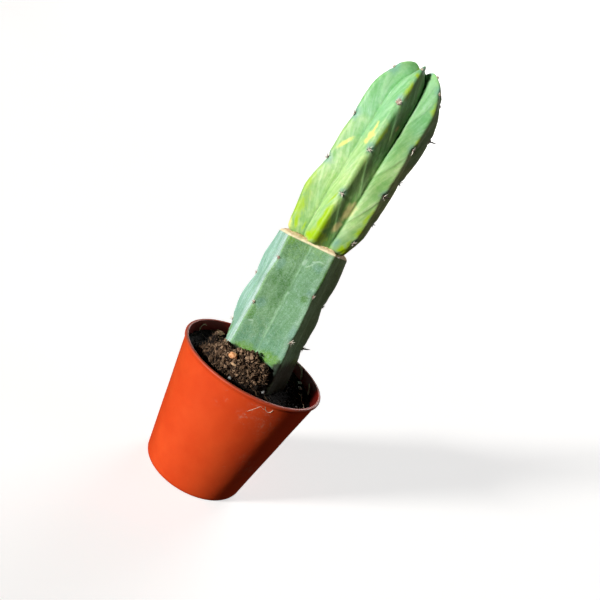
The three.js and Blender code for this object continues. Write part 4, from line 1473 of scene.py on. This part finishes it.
def build_lump(node, material, coarse, seed):
    """A broken lump that fills the box of its CAD node."""
    low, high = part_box(node)
    middle, half = (low + high) / 2 / MM, (high - low) / 2 / MM
    bm = bmesh.new()
    bmesh.ops.create_icosphere(bm, subdivisions=4, radius=1)
    for v in bm.verts:
        facet = noise.cell(v.co * 1.7 + Vector((seed, 0, 0))) * 0.1
        swell = 1 + coarse * noise.fractal(v.co * 1.4 + Vector((seed, seed, 0)), 1, 2, 4) + facet
        v.co = middle + Vector(a * b for a, b in zip(v.co * min(swell, 1.15), half))
    axes = {"use_axis_x": True, "use_axis_y": True, "use_axis_z": True}
    bmesh.ops.smooth_vert(bm, verts=bm.verts, factor=0.5, **axes)
    finished(node.replace("bark", "lump_of_bark").replace("grain", "lump"), bm, material, node)


def build_plant():
    build_stock()
    build_callus()
    build_scion()
    felt = felt_finish()
    stock_ribs = (STOCK_RIBS, STOCK_AREOLES, stock_crest, stock_lift, CREST_ROUNDING, STOCK_LOOKS)
    scion_ribs = (SCION_RIBS, SCION_AREOLES, scion_crest, scion_lift, 0, SCION_LOOKS)
    build_areoles(felt, "rootstock", plant_frame, *stock_ribs)
    build_areoles(felt, "scion", scion_frame, *scion_ribs)


def build_pot_and_soil():
    peat = soil_finish()
    pale_root = plain_bit("pale_rootlet", (0.3, 0.22, 0.14), (0.6, 0.5, 0.38), 1.5)
    build_pot()
    build_soil(peat)
    build_crumbs(peat)
    build_peat_fibres(peat)
    build_rootlets(plain_bit("brown_rootlet", (0.05, 0.03, 0.018), (0.3, 0.2, 0.12), 0.4))
    build_pot_fibres(plain_bit("white_rootlet", (0.5, 0.36, 0.26), (0.85, 0.75, 0.62), 1.2))
    for strand in STRANDS:
        build_strand(*strand, pale_root)
    orange = plain_bit("orange_bark", (0.5, 0.14, 0.03), (0.85, 0.5, 0.26), 0.9)
    pale = plain_bit("pale_bark", (0.45, 0.25, 0.12), (0.7, 0.52, 0.34), 1.2)
    build_lump("bark_piece_orange", orange, 0.2, 3)
    build_lump("bark_flake_pale", pale, 0.25, 5)
    build_lump("bark_chip_tan", pale, 0.35, 7)
    clean = plain_bit("clean_perlite", (0.45, 0.45, 0.42), (0.9, 0.9, 0.86), 1.4)
    # painted shade: the grains in front get a darker copy of the perlite
    dull = plain_bit("dull_perlite", (0.1, 0.1, 0.1), (0.42, 0.43, 0.42), 1.4)
    for k in range(1, 7):
        build_lump(f"perlite_grain_{k}", clean if k < 3 else dull, 0.35, k)


# Stage and light

# The stage's radii and heights, in metres
STAGE_FLOOR = [(0, -0.0002), (0.4, -0.0002), (1.1, -0.0002)]
STAGE_BEND = ((1.1, 0.6), 0.6, -80, 0, 10)
STAGE_TOP = (1.7, 3)
STAGE_GLOW = 0.64

# azimuth, elevation, strength, softness and colour
LIGHTS = {
    "key_light": (-44, 11, 4.8, 8, (1, 0.98, 0.94)),
    "side_light": (104, 14, 0.45, 40, (1, 0.76, 0.64)),
    "back_light": (168, 18, 1.5, 30, (1, 1, 1)),
}
SKY_STRENGTH = 0.08
FILL_STRENGTH = 0.05


def build_stage():
    """A pale floor that curves up into a round backdrop."""
    bm = spun(STAGE_FLOOR + arc(*STAGE_BEND) + [STAGE_TOP], 96, 1e-5)
    bmesh.ops.recalc_face_normals(bm, faces=bm.faces)
    bmesh.ops.reverse_faces(bm, faces=bm.faces)
    mesh = mesh_of("stage", bm)
    mesh.polygons.foreach_set("use_smooth", [True] * len(mesh.polygons))
    paint = Finish("stage_paint", Roughness=1.0, Specular_IOR_Level=0.0, Emission_Strength=STAGE_GLOW)
    paint.shader.inputs["Base Color"].default_value = (0.8, 0.8, 0.8, 1)
    paint.shader.inputs["Emission Color"].default_value = (1, 1, 1, 1)
    mesh.materials.append(paint.material)
    stage = new_object("stage", mesh)
    stage.visible_diffuse = stage.visible_glossy = stage.visible_shadow = False
    stage.visible_transmission = False


def add_sun(name, azimuth, elevation, strength, softness, colour):
    sun = new_object(name, bpy.data.lights.new(name, "SUN"))
    across, up = math.radians(azimuth), math.radians(elevation)
    towards = Vector((math.sin(across) * math.cos(up), -math.cos(across) * math.cos(up), math.sin(up)))
    sun.rotation_mode = "QUATERNION"
    sun.rotation_quaternion = towards.to_track_quat("Z", "Y")
    sun.data.energy = strength
    sun.data.angle = math.radians(softness)
    sun.data.color = colour


def build_light():
    for name, settings in LIGHTS.items():
        add_sun(name, *settings)
    world = bpy.data.worlds.new("soft_fill")
    world.use_nodes = True
    bpy.context.scene.world = world
    nodes, links = world.node_tree.nodes, world.node_tree.links
    way = nodes.new("ShaderNodeSeparateXYZ")
    links.new(nodes.new("ShaderNodeTexCoord").outputs["Generated"], way.inputs[0])
    sky = nodes.new("ShaderNodeMapRange")
    ends = {"From Min": 0, "From Max": 1, "To Min": FILL_STRENGTH, "To Max": SKY_STRENGTH}
    for socket, value in ends.items():
        sky.inputs[socket].default_value = value
    links.new(way.outputs["Z"], sky.inputs[0])
    links.new(sky.outputs[0], nodes["Background"].inputs["Strength"])
    bpy.context.scene.view_settings.view_transform = "Standard"


make_camera()
build_plant()
build_pot_and_soil()
build_stage()
build_light()
